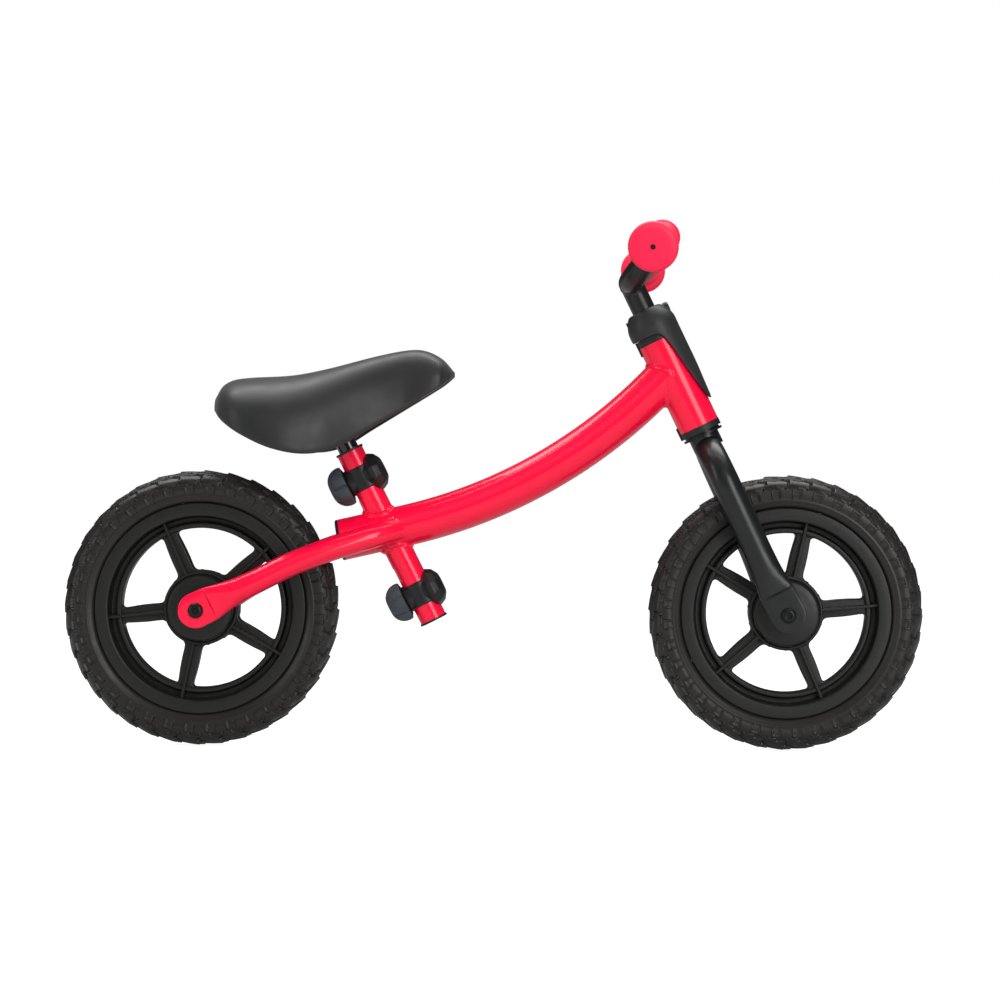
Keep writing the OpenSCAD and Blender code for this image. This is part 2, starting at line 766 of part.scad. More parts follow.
module knob_bolt() {
    translate([0, 0, -19]) cylinder(r = stud_r, h = 44);
}

// Washer between clamp and knob, with small notches all round its rim
module knob_washer() {
    washer_r = 15;
    notches = 24;
    translate([0, 0, 14.5]) difference() {
        ring(washer_r, stud_r + run_gap, 1.7);
        for (i = [0:notches - 1]) rotate(i * 360 / notches) translate([washer_r + 0.4, 0, -1])
            cylinder(r = 1, h = 4, $fn = 24);
    }
}

module upper_knob() { color("#3c464e") behind_seat_tube(clamp_high) knob_shape(0); }

module upper_knob_bolt() { color("silver") behind_seat_tube(clamp_high) knob_bolt(); }

module upper_knob_washer() { color("black") behind_seat_tube(clamp_high) knob_washer(); }

module lower_knob() { color("#3c464e") behind_seat_tube(clamp_low) knob_shape(20); }

module lower_knob_bolt() { color("silver") behind_seat_tube(clamp_low) knob_bolt(); }

module lower_knob_washer() { color("black") behind_seat_tube(clamp_low) knob_washer(); }

main_tube();
head_tube();
seat_tube();
stay_right();
stay_left();
main_tube_plug();
upper_headset_cup();
lower_headset_cup();
seat_sleeve_top();
seat_sleeve_bottom();
upper_clamp();
lower_clamp();
clamp_nuts();
rear_axle();
rear_axle_spacers();
rear_axle_bolts();
rear_tyre();
rear_rim();
rear_bearings();
steerer_tube();
fork_crown();
fork_leg_right();
fork_leg_left();
crown_race();
steering_cover();
cover_screw();
front_axle();
front_axle_spacers();
front_axle_bolts();
front_tyre();
front_rim();
front_bearings();
stem_tube();
handlebar_tube();
grip_right();
grip_left();
release_button();
button_guide_pin();
seat_post();
saddle();
saddle_pan();
saddle_screws();
upper_knob();
upper_knob_bolt();
upper_knob_washer();
lower_knob();
lower_knob_bolt();
lower_knob_washer();
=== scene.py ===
"""Looks of a child's balance bike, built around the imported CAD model."""
import bpy
import bmesh
import json
from math import asin, copysign, cos, degrees, pi, radians, sin, sqrt
from mathutils import Matrix, Vector, kdtree, noise


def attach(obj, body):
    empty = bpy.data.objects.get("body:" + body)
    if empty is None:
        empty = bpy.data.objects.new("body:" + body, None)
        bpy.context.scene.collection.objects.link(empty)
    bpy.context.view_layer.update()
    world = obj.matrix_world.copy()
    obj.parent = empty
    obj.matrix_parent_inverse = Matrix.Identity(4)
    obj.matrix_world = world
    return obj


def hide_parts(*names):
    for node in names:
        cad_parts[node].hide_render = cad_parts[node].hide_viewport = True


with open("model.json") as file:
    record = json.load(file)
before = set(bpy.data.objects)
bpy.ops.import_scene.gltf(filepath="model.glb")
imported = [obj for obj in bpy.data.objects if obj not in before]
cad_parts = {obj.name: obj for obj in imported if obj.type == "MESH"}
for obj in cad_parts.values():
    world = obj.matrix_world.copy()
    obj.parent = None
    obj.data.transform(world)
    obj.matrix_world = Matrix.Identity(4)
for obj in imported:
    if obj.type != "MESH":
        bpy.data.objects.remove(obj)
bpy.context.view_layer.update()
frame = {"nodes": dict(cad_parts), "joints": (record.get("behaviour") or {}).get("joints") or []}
MM = 0.001
TAU = 2 * pi
X_AXIS = Vector((1, 0, 0))
Y_AXIS = Vector((0, 1, 0))
Z_AXIS = Vector((0, 0, 1))


# ---- places, most of them from the imported joints ----

JOINTS = {joint["name"]: joint for joint in frame["joints"]}


def joint_spot(name):
    """A joint's point, in millimetres."""
    return Vector(JOINTS[name]["pos_m"]) / MM


def axes_frame(origin, x, y, z):
    """Matrix with the given local axes, placed at origin."""
    turn = Matrix([[axis[i] for axis in (x, y, z)] for i in range(3)]).to_4x4()
    return Matrix.Translation(origin) @ turn


def upright_frame(origin, up):
    """Matrix whose local Z is up and whose local X points forward of it."""
    up = Vector(up).normalized()
    return axes_frame(origin, Y_AXIS.cross(up), Y_AXIS, up)


# Tube radii, and heights along the seat axis and the head axis.
HEAD_R = 19.25
MAIN_R = 19.05
SEAT_R = 12.5
BAR_R = 11.0
STAY_R = 11.0
LEG_R = 12.0
CLAMP_LOW = 26.5
CLAMP_HIGH = 145.8
STEM_TOP = 147.0
BAR_LEAN = radians(36.2)

HEAD = upright_frame(joint_spot("steering"), JOINTS["steering"]["axis"])
SEAT_UP = Vector(JOINTS["seat_height"]["axis"])
SEAT = upright_frame(joint_spot("lower_knob_turn") - CLAMP_LOW * SEAT_UP, SEAT_UP)
BAR = upright_frame(HEAD @ Vector((0, 0, STEM_TOP)), (sin(BAR_LEAN), 0, cos(BAR_LEAN)))
REAR_AXLE = joint_spot("rear_wheel_spin")
FRONT_AXLE = joint_spot("front_wheel_spin")
# The main tube's centreline is an arc.
CURVE_CENTRE = Vector((-190.2, 0, 663.3))
CURVE_R = 471.6


def wheel_frame(centre):
    """Local X and Y in the wheel's plane (X forward, Y up), local Z towards the bike's right side."""
    return Matrix.Translation(centre) @ Matrix.Rotation(pi / 2, 4, "X")


def behind_seat(s):
    """Local Z points rearward from the seat axis at height s along it."""
    return SEAT @ Matrix.Translation((0, 0, s)) @ Matrix.Rotation(-pi / 2, 4, "Y")


# ---- mesh helpers, all in millimetres until a piece is made ----

SAME_POINT = 2e-6       # metres


def make_piece(name, verts, faces, body, finish, place=Matrix.Identity(4), stands_for=(), crease=32):
    """A smooth-shaded mesh piece that rides on a body."""
    return dress(raw_object(name, (verts, faces), place), body, finish, stands_for, crease)


def put_in_scene(thing):
    """Links an object into the scene's collection."""
    bpy.context.scene.collection.objects.link(thing)


def clean(mesh):
    """Joins doubled points and turns every face outwards."""
    work = bmesh.new()
    work.from_mesh(mesh)
    bmesh.ops.remove_doubles(work, verts=work.verts, dist=SAME_POINT)
    bmesh.ops.recalc_face_normals(work, faces=work.faces)
    work.to_mesh(mesh)
    work.free()


def dress(piece, body, finish, stands_for=(), crease=32):
    """Cleans a piece's mesh, gives it its material and lets it ride."""
    mesh = piece.data
    clean(mesh)
    for polygon in mesh.polygons:
        polygon.use_smooth = True
    mesh.set_sharp_from_angle(angle=radians(crease))
    mesh.materials.clear()
    mesh.materials.append(MATERIALS[finish])
    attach(piece, body)
    if stands_for:
        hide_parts(*stands_for)
    return piece


def grid_faces(rows, columns, closed_rows=False):
    """Quads between rows of points, each row being one ring."""
    faces = []
    for i in range(rows if closed_rows else rows - 1):
        for j in range(columns):
            a, b = i, (i + 1) % rows
            c, d = j, (j + 1) % columns
            faces.append((a * columns + c, a * columns + d, b * columns + d, b * columns + c))
    return faces


def revolve(profile, sides=96, closed=False, wobble=None):
    """Turns a profile of (radius, height) about local Z."""
    verts = []
    for r, z in profile:
        for k in range(sides):
            a = TAU * k / sides
            s = wobble(a, r, z) if wobble else 1.0
            verts.append((r * s * cos(a), r * s * sin(a), z))
    return verts, grid_faces(len(profile), sides, closed_rows=closed)


def softened(points, reach, steps=4, closed=False):
    """Rounds the corners of a polyline with short curves."""
    points = [Vector(p) for p in points]
    out = []
    count = len(points)
    for k, corner in enumerate(points):
        if not closed and k in (0, count - 1):
            out.append(corner)
            continue
        before = points[k - 1] - corner
        after = points[(k + 1) % count] - corner
        a = corner + before.normalized() * min(reach, before.length * 0.45)
        b = corner + after.normalized() * min(reach, after.length * 0.45)
        for i in range(steps + 1):
            u = i / steps
            out.append((1 - u) ** 2 * a + 2 * u * (1 - u) * corner + u * u * b)
    return out


def softened_profile(profile, reach, closed=False):
    """A profile with its corners rounded, as plain pairs."""
    return [tuple(p) for p in softened(profile, reach, 2, closed)]


def ring_at(point, along, ref, a, b, sides, power=2.0):
    """Superellipse of points round a path: a across ref, b towards it; power 2 is an ellipse."""
    t = along.normalized()
    if abs(t.dot(ref)) > 0.97:
        ref = Vector((ref.z, ref.x, ref.y))
    e1 = t.cross(ref).normalized()
    e2 = t.cross(e1)
    out = []
    for k in range(sides):
        c, s = cos(TAU * k / sides), sin(TAU * k / sides)
        out.append(point + a * copysign(abs(c) ** (2 / power), c) * e1
                   + b * copysign(abs(s) ** (2 / power), s) * e2)
    return out


def sweep(path, sections, ref, sides):
    """A capped tube along a path; sections holds (a, b, power) for each point."""
    verts = []
    last = len(path) - 1
    for k, point in enumerate(path):
        along = path[min(k + 1, last)] - path[max(k - 1, 0)]
        a, b, power = sections[k]
        verts += ring_at(point, along, ref, a, b, sides, power)
    faces = grid_faces(len(path), sides)
    faces.append(tuple(range(sides)))
    faces.append(tuple(range(last * sides + sides - 1, last * sides - 1, -1)))
    return verts, faces


def curve_through(points, steps=8):
    """Smooth path through given points (Catmull-Rom)."""
    points = [Vector(p) for p in points]
    out = []
    for k in range(len(points) - 1):
        p0, p1 = points[max(k - 1, 0)], points[k]
        p2, p3 = points[k + 1], points[min(k + 2, len(points) - 1)]
        for i in range(steps):
            u = i / steps
            out.append(0.5 * (2 * p1 + (p2 - p0) * u + (2 * p0 - 5 * p1 + 4 * p2 - p3) * u * u
                              + (3 * p1 - p0 - 3 * p2 + p3) * u ** 3))
    out.append(points[-1])
    return out


def step_between(x, low, high):
    """0 below low, 1 above high, smooth between."""
    u = min(max((x - low) / (high - low), 0.0), 1.0)
    return u * u * (3 - 2 * u)


def merged(*shapes):
    """Several (verts, faces) shapes as one."""
    verts, faces = [], []
    for more_verts, more_faces in shapes:
        base = len(verts)
        verts += more_verts
        faces += [tuple(base + i for i in face) for face in more_faces]
    return verts, faces


def placed(shape, matrix):
    """The shape moved by a matrix."""
    verts, faces = shape
    return [matrix @ Vector(v) for v in verts], faces


def apply_modifiers(piece):
    """Bakes a piece's modifiers into its mesh."""
    graph = bpy.context.evaluated_depsgraph_get()
    mesh = bpy.data.meshes.new_from_object(piece.evaluated_get(graph))
    old = piece.data
    piece.modifiers.clear()
    piece.data = mesh
    bpy.data.meshes.remove(old)


def raw_object(name, shape, place=Matrix.Identity(4)):
    """A linked scratch object with no material, in metres."""
    mesh = bpy.data.meshes.new(name)
    mesh.from_pydata([place @ Vector(v) * MM for v in shape[0]], [], shape[1])
    clean(mesh)
    piece = bpy.data.objects.new(name, mesh)
    put_in_scene(piece)
    return piece


def blended(name, shapes, voxel, rounds, cutters=(), place=Matrix.Identity(4)):
    """One soft moulded form: shapes joined by a voxel remesh, smoothed, then cut."""
    piece = raw_object(name, merged(*shapes), place)
    remesh = piece.modifiers.new("remesh", "REMESH")
    remesh.mode = "VOXEL"
    remesh.voxel_size = voxel * MM
    smooth = piece.modifiers.new("smooth", "SMOOTH")
    smooth.factor = 0.5
    smooth.iterations = rounds
    apply_modifiers(piece)
    for cutter in cutters:
        cut_out(piece, cutter, place)
    return piece


def cut_out(piece, shape, place):
    """Boolean difference with one closed shape."""
    tool = raw_object("cutter", shape, place)
    cut = piece.modifiers.new("cut", "BOOLEAN")
    cut.operation = "DIFFERENCE"
    cut.solver = "EXACT"
    cut.object = tool
    apply_modifiers(piece)
    bpy.data.objects.remove(tool)


def rod(r, z0, z1, sides=96):
    """A closed cylinder along local Z."""
    return revolve([(0, z0), (r, z0), (r, z1), (0, z1)], sides)


# ---- materials ----

MATERIALS = {}


def empty_tree(owner):
    """Node tree of a material or world, with nothing in it yet."""
    owner.use_nodes = True
    owner.node_tree.nodes.clear()
    return owner.node_tree


def range_node(tree, value, low, high):
    """Maps a value of 0 to 1 onto low to high."""
    node = tree.nodes.new("ShaderNodeMapRange")
    node.inputs["To Min"].default_value = low
    node.inputs["To Max"].default_value = high
    tree.links.new(value, node.inputs["Value"])
    return node


def surface(name, colour, roughness, metallic=0.0, coat=0.0, coat_roughness=0.05, sheen=0.0,
            specular=0.5, tint=0.1, tint_scale=60.0, grain=0.0, grain_scale=900.0,
            rough_spread=0.05, dents=0.0, dents_scale=60.0):
    """A procedural finish: colour drift, uneven gloss, fine grain and broad waviness."""
    mat = bpy.data.materials.new(name)
    tree = empty_tree(mat)
    link = tree.links.new
    output = tree.nodes.new("ShaderNodeOutputMaterial")
    shader = tree.nodes.new("ShaderNodeBsdfPrincipled")
    link(shader.outputs["BSDF"], output.inputs["Surface"])
    shader.inputs["Metallic"].default_value = metallic
    shader.inputs["Coat Weight"].default_value = coat
    shader.inputs["Coat Roughness"].default_value = coat_roughness
    shader.inputs["Sheen Weight"].default_value = sheen
    shader.inputs["Specular IOR Level"].default_value = specular
    place = tree.nodes.new("ShaderNodeTexCoord")
    drift = noise_node(tree, place, tint_scale, 4.0)
    mix = tree.nodes.new("ShaderNodeMix")
    mix.data_type = "RGBA"
    mix.inputs["A"].default_value = [c * (1 - tint) for c in colour] + [1]
    mix.inputs["B"].default_value = [min(c * (1 + tint), 1.0) for c in colour] + [1]
    link(drift.outputs["Fac"], mix.inputs["Factor"])
    link(mix.outputs["Result"], shader.inputs["Base Color"])
    gloss = noise_node(tree, place, tint_scale * 2.3, 3.0)
    spread = range_node(tree, gloss.outputs["Fac"], roughness - rough_spread, roughness + rough_spread)
    spread.inputs["From Min"].default_value = 0.3
    spread.inputs["From Max"].default_value = 0.7
    link(spread.outputs["Result"], shader.inputs["Roughness"])
    normal = None
    for depth, scale, detail in ((dents, dents_scale, 1.0), (grain, grain_scale, 2.0)):
        if depth > 0:
            bump = tree.nodes.new("ShaderNodeBump")
            bump.inputs["Strength"].default_value = 1.0
            bump.inputs["Distance"].default_value = depth * MM
            height = noise_node(tree, place, scale, detail)
            link(height.outputs["Fac"], bump.inputs["Height"])
            if normal:
                link(normal.outputs["Normal"], bump.inputs["Normal"])
            normal = bump
    if normal:
        link(normal.outputs["Normal"], shader.inputs["Normal"])
    MATERIALS[name] = mat


def noise_node(tree, place, scale, detail):
    """Noise in the piece's own coordinates."""
    node = tree.nodes.new("ShaderNodeTexNoise")
    node.inputs["Scale"].default_value = scale
    node.inputs["Detail"].default_value = detail
    tree.links.new(place.outputs["Object"], node.inputs["Vector"])
    return node


surface("frame_paint", (1.0, 0.0012, 0.045), 0.34, coat=0.75, coat_roughness=0.06, tint=0.03,
        tint_scale=25, grain=0.003, grain_scale=420, dents=0.012, dents_scale=35, specular=0.2)
surface("black_paint", (0.008, 0.0085, 0.009), 0.36, coat=0.2, coat_roughness=0.22, tint_scale=40,
        grain=0.01, grain_scale=1500)
surface("post_paint", (0.012, 0.012, 0.012), 0.16, coat=0.8, tint=0.08,
        tint_scale=40, grain=0.004, grain_scale=900)
surface("black_bolt", (0.02, 0.021, 0.022), 0.3, metallic=0.6, grain=0.008, grain_scale=2200)
surface("steel", (0.58, 0.58, 0.57), 0.28, metallic=1.0, tint=0.05, grain=0.006, grain_scale=1800)
surface("tyre_foam", (0.016, 0.0150, 0.0137), 0.4, tint=0.18, tint_scale=45, grain=0.012,
        grain_scale=900)
surface("rim_plastic", (0.0125, 0.012, 0.0113), 0.42, tint=0.15, tint_scale=70, grain=0.035,
        grain_scale=750)
surface("cover_plastic", (0.022, 0.023, 0.023), 0.48, tint=0.08, grain=0.02, grain_scale=1600)
surface("sleeve_plastic", (0.012, 0.013, 0.014), 0.45, grain=0.02, grain_scale=1500)
surface("clamp_plastic", (0.010, 0.011, 0.012), 0.4, grain=0.03, grain_scale=700)
surface("knob_rubber", (0.037, 0.05, 0.06), 0.62, tint_scale=90, grain=0.03,
        grain_scale=1500, sheen=0.15)
surface("grip_rubber", (1.0, 0.004, 0.06), 0.46, tint=0.04, tint_scale=50, grain=0.02,
        grain_scale=1200, sheen=0.1)
surface("saddle_foam", (0.0165, 0.0172, 0.0168), 0.42, tint=0.12, tint_scale=35, grain=0.02,
        grain_scale=1100, sheen=0.12)


# ---- wheels ----

SEGMENTS = 36            # tread segments round the tyre
PITCH_STEPS = 30         # points along one segment
TYRE_ROWS = 62           # rows of points from the bead to the crown
TYRE_PROFILE = [(97.3, 16.5), (98.6, 19.2), (102.8, 21.3), (104.0, 22.3), (105.2, 21.4), (109.5, 22.3),
                (114.0, 21.8), (117.6, 19.6), (120.8, 15.6), (123.2, 10.0), (124.2, 5.0), (124.5, 0.0)]
BORE_R, BORE_HALF = 97.15, 15.0
GROOVE = 0.045           # half width of the gap between two blocks, in segments
TREAD_FOOT = 22.4        # where the blocks end, from the crown
TREAD_EAR = 2.6          # how much further every segment's shoulder block reaches
BLOCK_LOW, BLOCK_RISE = 0.7, 1.85                # height where a block starts, and its rise
SIPES = ((8.3, 0.0, 0.45), (15.4, 0.45, 0.8))    # cuts: place across, and reach along the segment
WALL_BAND = (25.2, 33.4)                         # raised line work on the side wall
WALL_LEGS = (0.36, 0.74)
SEGMENT_LEN = 20.5


def near(pitch, spot):
    """Distance round the segment between two places, in segments."""
    return abs((pitch - spot + 0.5) % 1.0 - 0.5)


def block_edge(across):
    """Where a tread block starts along the segment: a stepped line over the tyre."""
    line = 0.30 * step_between(across, 7.0, 9.5) - 0.34 * step_between(across, 14.2, 16.6)
    return line + 0.2 * step_between(across, 20.0, 23.5)


def tread_height(pitch, across, side):
    """Height over the tyre's skin: pitch is 0..1 round one segment, across the distance from the
    crown in millimetres, side +1 or -1."""
    if side < 0:
        pitch = (pitch + 0.5 * step_between(across, 7.0, 9.0)) % 1.0
    foot = TREAD_FOOT + TREAD_EAR * step_between(near(pitch, 0.28), 0.30, 0.24)
    if across < foot:
        start = block_edge(across)
        into = (pitch - start) % 1.0
        gap = min(into, 1 - into)
        wall = step_between(gap, GROOVE * 0.5, GROOVE * 1.5)
        ramp = BLOCK_LOW + BLOCK_RISE * into
        ring_gap = 1.0
        for spot, reach_from, reach_to in SIPES:
            inside = step_between(into, reach_from, reach_from + 0.05)
            inside *= step_between(reach_to - into, 0, 0.05)
            ring_gap = min(ring_gap, 1 - 0.8 * inside * step_between(1.3 - abs(across - spot), 0, 0.6))
        return ramp * wall * ring_gap * step_between(foot - across, 0, 0.9)
    if WALL_BAND[0] < across < WALL_BAND[1]:
        first, second = WALL_LEGS
        legs = min(near(pitch, first), near(pitch, second)) * SEGMENT_LEN
        bar = abs(across - 26.6) if first < pitch < second else 9.0
        return 1.1 * step_between(1.1 - min(legs, bar), 0, 0.5)
    return 0.0


def evenly(points, count):
    """Points spread evenly along a polyline, with their tangents and distances from its end."""
    lengths = [0.0]
    for a, b in zip(points, points[1:]):
        lengths.append(lengths[-1] + (b - a).length)
    total = lengths[-1]
    out = []
    k = 0
    for i in range(count + 1):
        target = total * i / count
        while k < len(points) - 2 and lengths[k + 1] < target:
            k += 1
        u = (target - lengths[k]) / (lengths[k + 1] - lengths[k])
        tangent = (points[k + 1] - points[k]).normalized()
        out.append((points[k].lerp(points[k + 1], u), tangent, total - target))
    return out


def tyre_shape():
    """Tyre skin raised by the tread on both sides, closed by a plain bore."""
    half = softened([Vector(p) for p in TYRE_PROFILE], 1.6, 3)
    rows = [(p, Vector((-t.y, t.x)), d, 1) for p, t, d in evenly(half, TYRE_ROWS)]
    rows += [(p, n, d, -1) for p, n, d, _ in reversed(rows[:-1])]
    columns = SEGMENTS * PITCH_STEPS
    turns = [(cos(TAU * j / columns), sin(TAU * j / columns)) for j in range(columns)]
    verts = []
    for p, n, across, side in rows:
        heights = [tread_height(j / PITCH_STEPS, across, side) for j in range(PITCH_STEPS)]
        for j, (c, sn) in enumerate(turns):
            h = heights[j % PITCH_STEPS]
            r = p.x + abs(n.x) * h
            verts.append((r * c, r * sn, side * (p.y + abs(n.y) * h)))
    for z in (-BORE_HALF, BORE_HALF):
        verts += [(BORE_R * c, BORE_R * sn, z) for c, sn in turns]
    return verts, grid_faces(len(rows) + 2, columns, closed_rows=True)


SPOKES = 5
HUB_R, WINDOW_R = 34.5, 73.6
SPOKE_HALF_IN, SPOKE_HALF_OUT = 5.7, 4.6
RIB_IN, RIB_OUT, RIB_HALF = 31.5, 85.5, 1.7
WEB_HALF, WEB_EDGE = 5.6, 76.8
WEB_SOFT = 1.6           # edge rounding of the web, which grows its outline by as much
WINDOW_CORNER = 7.5      # how far a window's round corners reach
RIM_RING = [(97.1, 16.0), (97.0, 17.6), (96.2, 18.7), (86.2, 18.7), (84.8, 17.6), (84.2, 4.2),
            (83.0, 2.6), (79.4, 2.6), (78.6, 4.0), (78.2, 9.2), (77.2, 9.9), (74.6, 9.9), (73.6, 8.8)]
RIM_HUB = [(34.5, 6.0), (34.4, 11.8), (33.4, 13.0), (31.6, 13.0), (30.9, 12.0), (30.6, 13.0),
           (30.2, 20.5), (28.8, 22.4), (24.0, 23.3), (17.0, 24.0), (15.0, 25.0),
           (14.8, 35.0), (13.8, 36.0), (11.0, 36.0), (11.0, 29.0)]


def rim_window(k, phase):
    """Outline of one opening between two spokes, with round corners."""
    a0, a1 = phase + TAU * k / SPOKES, phase + TAU * (k + 1) / SPOKES

    def at(r, half, first):
        turn = asin(half / r)
        return r, (a0 + turn if first else a1 - turn)

    low, high = HUB_R - WEB_SOFT, WINDOW_R + WEB_SOFT
    corners = [at(low, SPOKE_HALF_IN, True), at(high, SPOKE_HALF_OUT, True),
               at(high, SPOKE_HALF_OUT, False), at(low, SPOKE_HALF_IN, False)]
    steps = 20
    points = []
    for (r0, t0), (r1, t1) in zip(corners, corners[1:] + corners[:1]):
        for i in range(steps):
            u = i / steps
            r, t = r0 + (r1 - r0) * u, t0 + (t1 - t0) * u
            points.append(Vector((r * cos(t), r * sin(t))))
    marks = range(0, len(points), steps)
    rounded = set()
    for m in marks:
        for i in range(-14, 15):
            if (points[(m + i) % len(points)] - points[m]).length < WINDOW_CORNER:
                rounded.add((m + i) % len(points))
    out = []
    for i, p in enumerate(points):
        if i in marks:
            before = points[(i - 1) % len(points)]
            after = points[(i + 1) % len(points)]
            a = p + (before - p).normalized() * WINDOW_CORNER
            b = p + (after - p).normalized() * WINDOW_CORNER
            out += [(1 - u) ** 2 * a + 2 * u * (1 - u) * p + u * u * b for u in [n / 8 for n in range(9)]]
        elif i not in rounded:
            out.append(p)
    return out


def rim_web(phase):
    """Hub ring, spokes and inner flange as one plate with rounded edges."""
    curve = bpy.data.curves.new("rim_web", "CURVE")
    curve.dimensions = "2D"
    curve.fill_mode = "BOTH"
    curve.extrude = WEB_HALF * MM
    curve.bevel_depth = WEB_SOFT * MM
    curve.bevel_resolution = 3
    turns = [TAU * i / 120 for i in range(120)]
    outer = [Vector((WEB_EDGE * cos(a), WEB_EDGE * sin(a))) for a in turns]
    loops = [outer] + [rim_window(k, phase) for k in range(SPOKES)]
    for loop in loops:
        spline = curve.splines.new("POLY")
        spline.points.add(len(loop) - 1)
        for point, p in zip(spline.points, loop):
            point.co = (p.x * MM, p.y * MM, 0, 1)
        spline.use_cyclic_u = True
    holder = bpy.data.objects.new("rim_web", curve)
    put_in_scene(holder)
    graph = bpy.context.evaluated_depsgraph_get()
    mesh = bpy.data.meshes.new_from_object(holder.evaluated_get(graph))
    verts = [tuple(v.co / MM) for v in mesh.vertices]
    faces = [tuple(p.vertices) for p in mesh.polygons]
    bpy.data.objects.remove(holder)
    bpy.data.curves.remove(curve)
    bpy.data.meshes.remove(mesh)
    return verts, faces


def mirrored_loop(half):
    """Closed profile from its upper half."""
    return half + [(r, -z) for r, z in reversed(half)]


def bar_block(x0, x1, half_y, z0, z1, soft=0.7):
    """A long rounded rib along local X, taller at one end: z0 at x0 and z1 at x1."""
    path = [Vector((x, 0, 0)) for x in (x0, x0 + 0.8, x1 - 0.8, x1)]
    heights = (z0 - soft, z0, z1, z1 - soft)
    widths = (half_y - soft, half_y, half_y, half_y - soft)
    sections = [(w, h, 6.0) for w, h in zip(widths, heights)]
    return sweep(path, sections, Z_AXIS, sides=32)


def rim_shape(phase):
    """The whole moulded rim: outer ring, hub, web and one rib along each spoke."""
    shapes = [revolve(softened_profile(mirrored_loop(RIM_RING), 0.5, closed=True), 160, closed=True),
              revolve(softened_profile(mirrored_loop(RIM_HUB), 0.6, closed=True), 96, closed=True),
              rim_web(phase)]
    for k in range(SPOKES):
        turn = Matrix.Rotation(phase + TAU * k / SPOKES, 4, "Z")
        shapes.append(placed(bar_block(RIB_IN, RIB_OUT, RIB_HALF, 12.6, 12.2), turn))
    return merged(*shapes)


def wheels():
    """Tyre and rim of both wheels; the spokes stand at each wheel's own angle."""
    tyre_verts, tyre_faces = tyre_shape()
    for end, centre, phase in (("rear", REAR_AXLE, radians(42.3)),
                               ("front", FRONT_AXLE, radians(5.3))):
        place = wheel_frame(centre)
        make_piece(f"{end}_tyre_tread", tyre_verts, tyre_faces, f"{end}_wheel", "tyre_foam",
                   place, (f"{end}_tyre",), crease=50)
        verts, faces = rim_shape(phase)
        make_piece(f"{end}_rim_moulding", verts, faces, f"{end}_wheel", "rim_plastic",
                   place, (f"{end}_rim",), crease=35)


# ---- frame ----

DROPOUT_R = 16.3
PLATE_HALF = 3.0
STAY_SPREAD = 48.0                    # the dropout's middle plane, from the bike's
STAY_TIP = (3.0, 6.5)                 # half width and half height where the stay ends in the main tube
STAY_BEND = (-212, 155.2)             # place and height of the bend above the wheel
# Centreline of the stay's front stretch.
STAY_FRONT = [(-76, 10.5, 203.0), (-88, 16.0, 200.9), (-101, 22.0, 197.6), (-118, 28.2, 192.8),
              (-145, 36, 184.4), (-165, 41, 177.2), (-188, 45.0, 167.6)]
# Distance before the axle, half width, half height and squareness of the flattening end.
STAY_NECK = [(62, 11.0, 11.0, 2.0), (44, 10.7, 11.5, 2.0), (34, 9.2, 12.6, 2.2), (26, 7.0, 13.8, 2.7),
             (19.5, 5.4, 15.0, 3.6), (15.3, 4.8, 15.7, 5.0), (13.6, PLATE_HALF, 15.9, 9.0)]


def round_plate(centre, along, steps=14):
    """Path and sections of a flat plate's last half circle."""
    turns = [pi / 2 * k / steps for k in range(steps + 1)]
    path = [centre + along * DROPOUT_R * sin(a) for a in turns]
    return path, [(PLATE_HALF, max(DROPOUT_R * cos(a), 0.4), 9.0) for a in turns]


def stay(side):
    """One rear stay: front end running into the main tube, one bend, crimped dropout."""
    axle = Vector((REAR_AXLE.x, STAY_SPREAD, REAR_AXLE.z))
    along = Vector((axle.x - STAY_BEND[0], 0, axle.z - STAY_BEND[1])).normalized()
    neck = [axle - along * d for d, *_ in STAY_NECK]
    path = curve_through(STAY_FRONT + [neck[0]])
    tip_w, tip_h = STAY_TIP
    sections = []
    for p in path:
        full = step_between(-p.x, 68, 116)
        sections.append((tip_w + (STAY_R - tip_w) * full, tip_h + (STAY_R - tip_h) * full ** 0.5, 2.0))
    for (d0, *s0), (d1, *s1), a, b in zip(STAY_NECK, STAY_NECK[1:], neck, neck[1:]):
        steps = max(int((d0 - d1) / 1.5), 1)
        for i in range(1, steps + 1):
            u = i / steps
            path.append(a.lerp(b, u))
            sections.append(tuple(v + (w - v) * u for v, w in zip(s0, s1)))
    tail_path, tail_sections = round_plate(axle, along)
    verts, faces = sweep(path + tail_path, sections + tail_sections, Z_AXIS, sides=64)
    if side == "right":
        verts = [(v[0], -v[1], v[2]) for v in verts]
    make_piece(f"stay_{side}_tube", verts, faces, "frame", "frame_paint",
               stands_for=(f"stay_{side}",), crease=34)


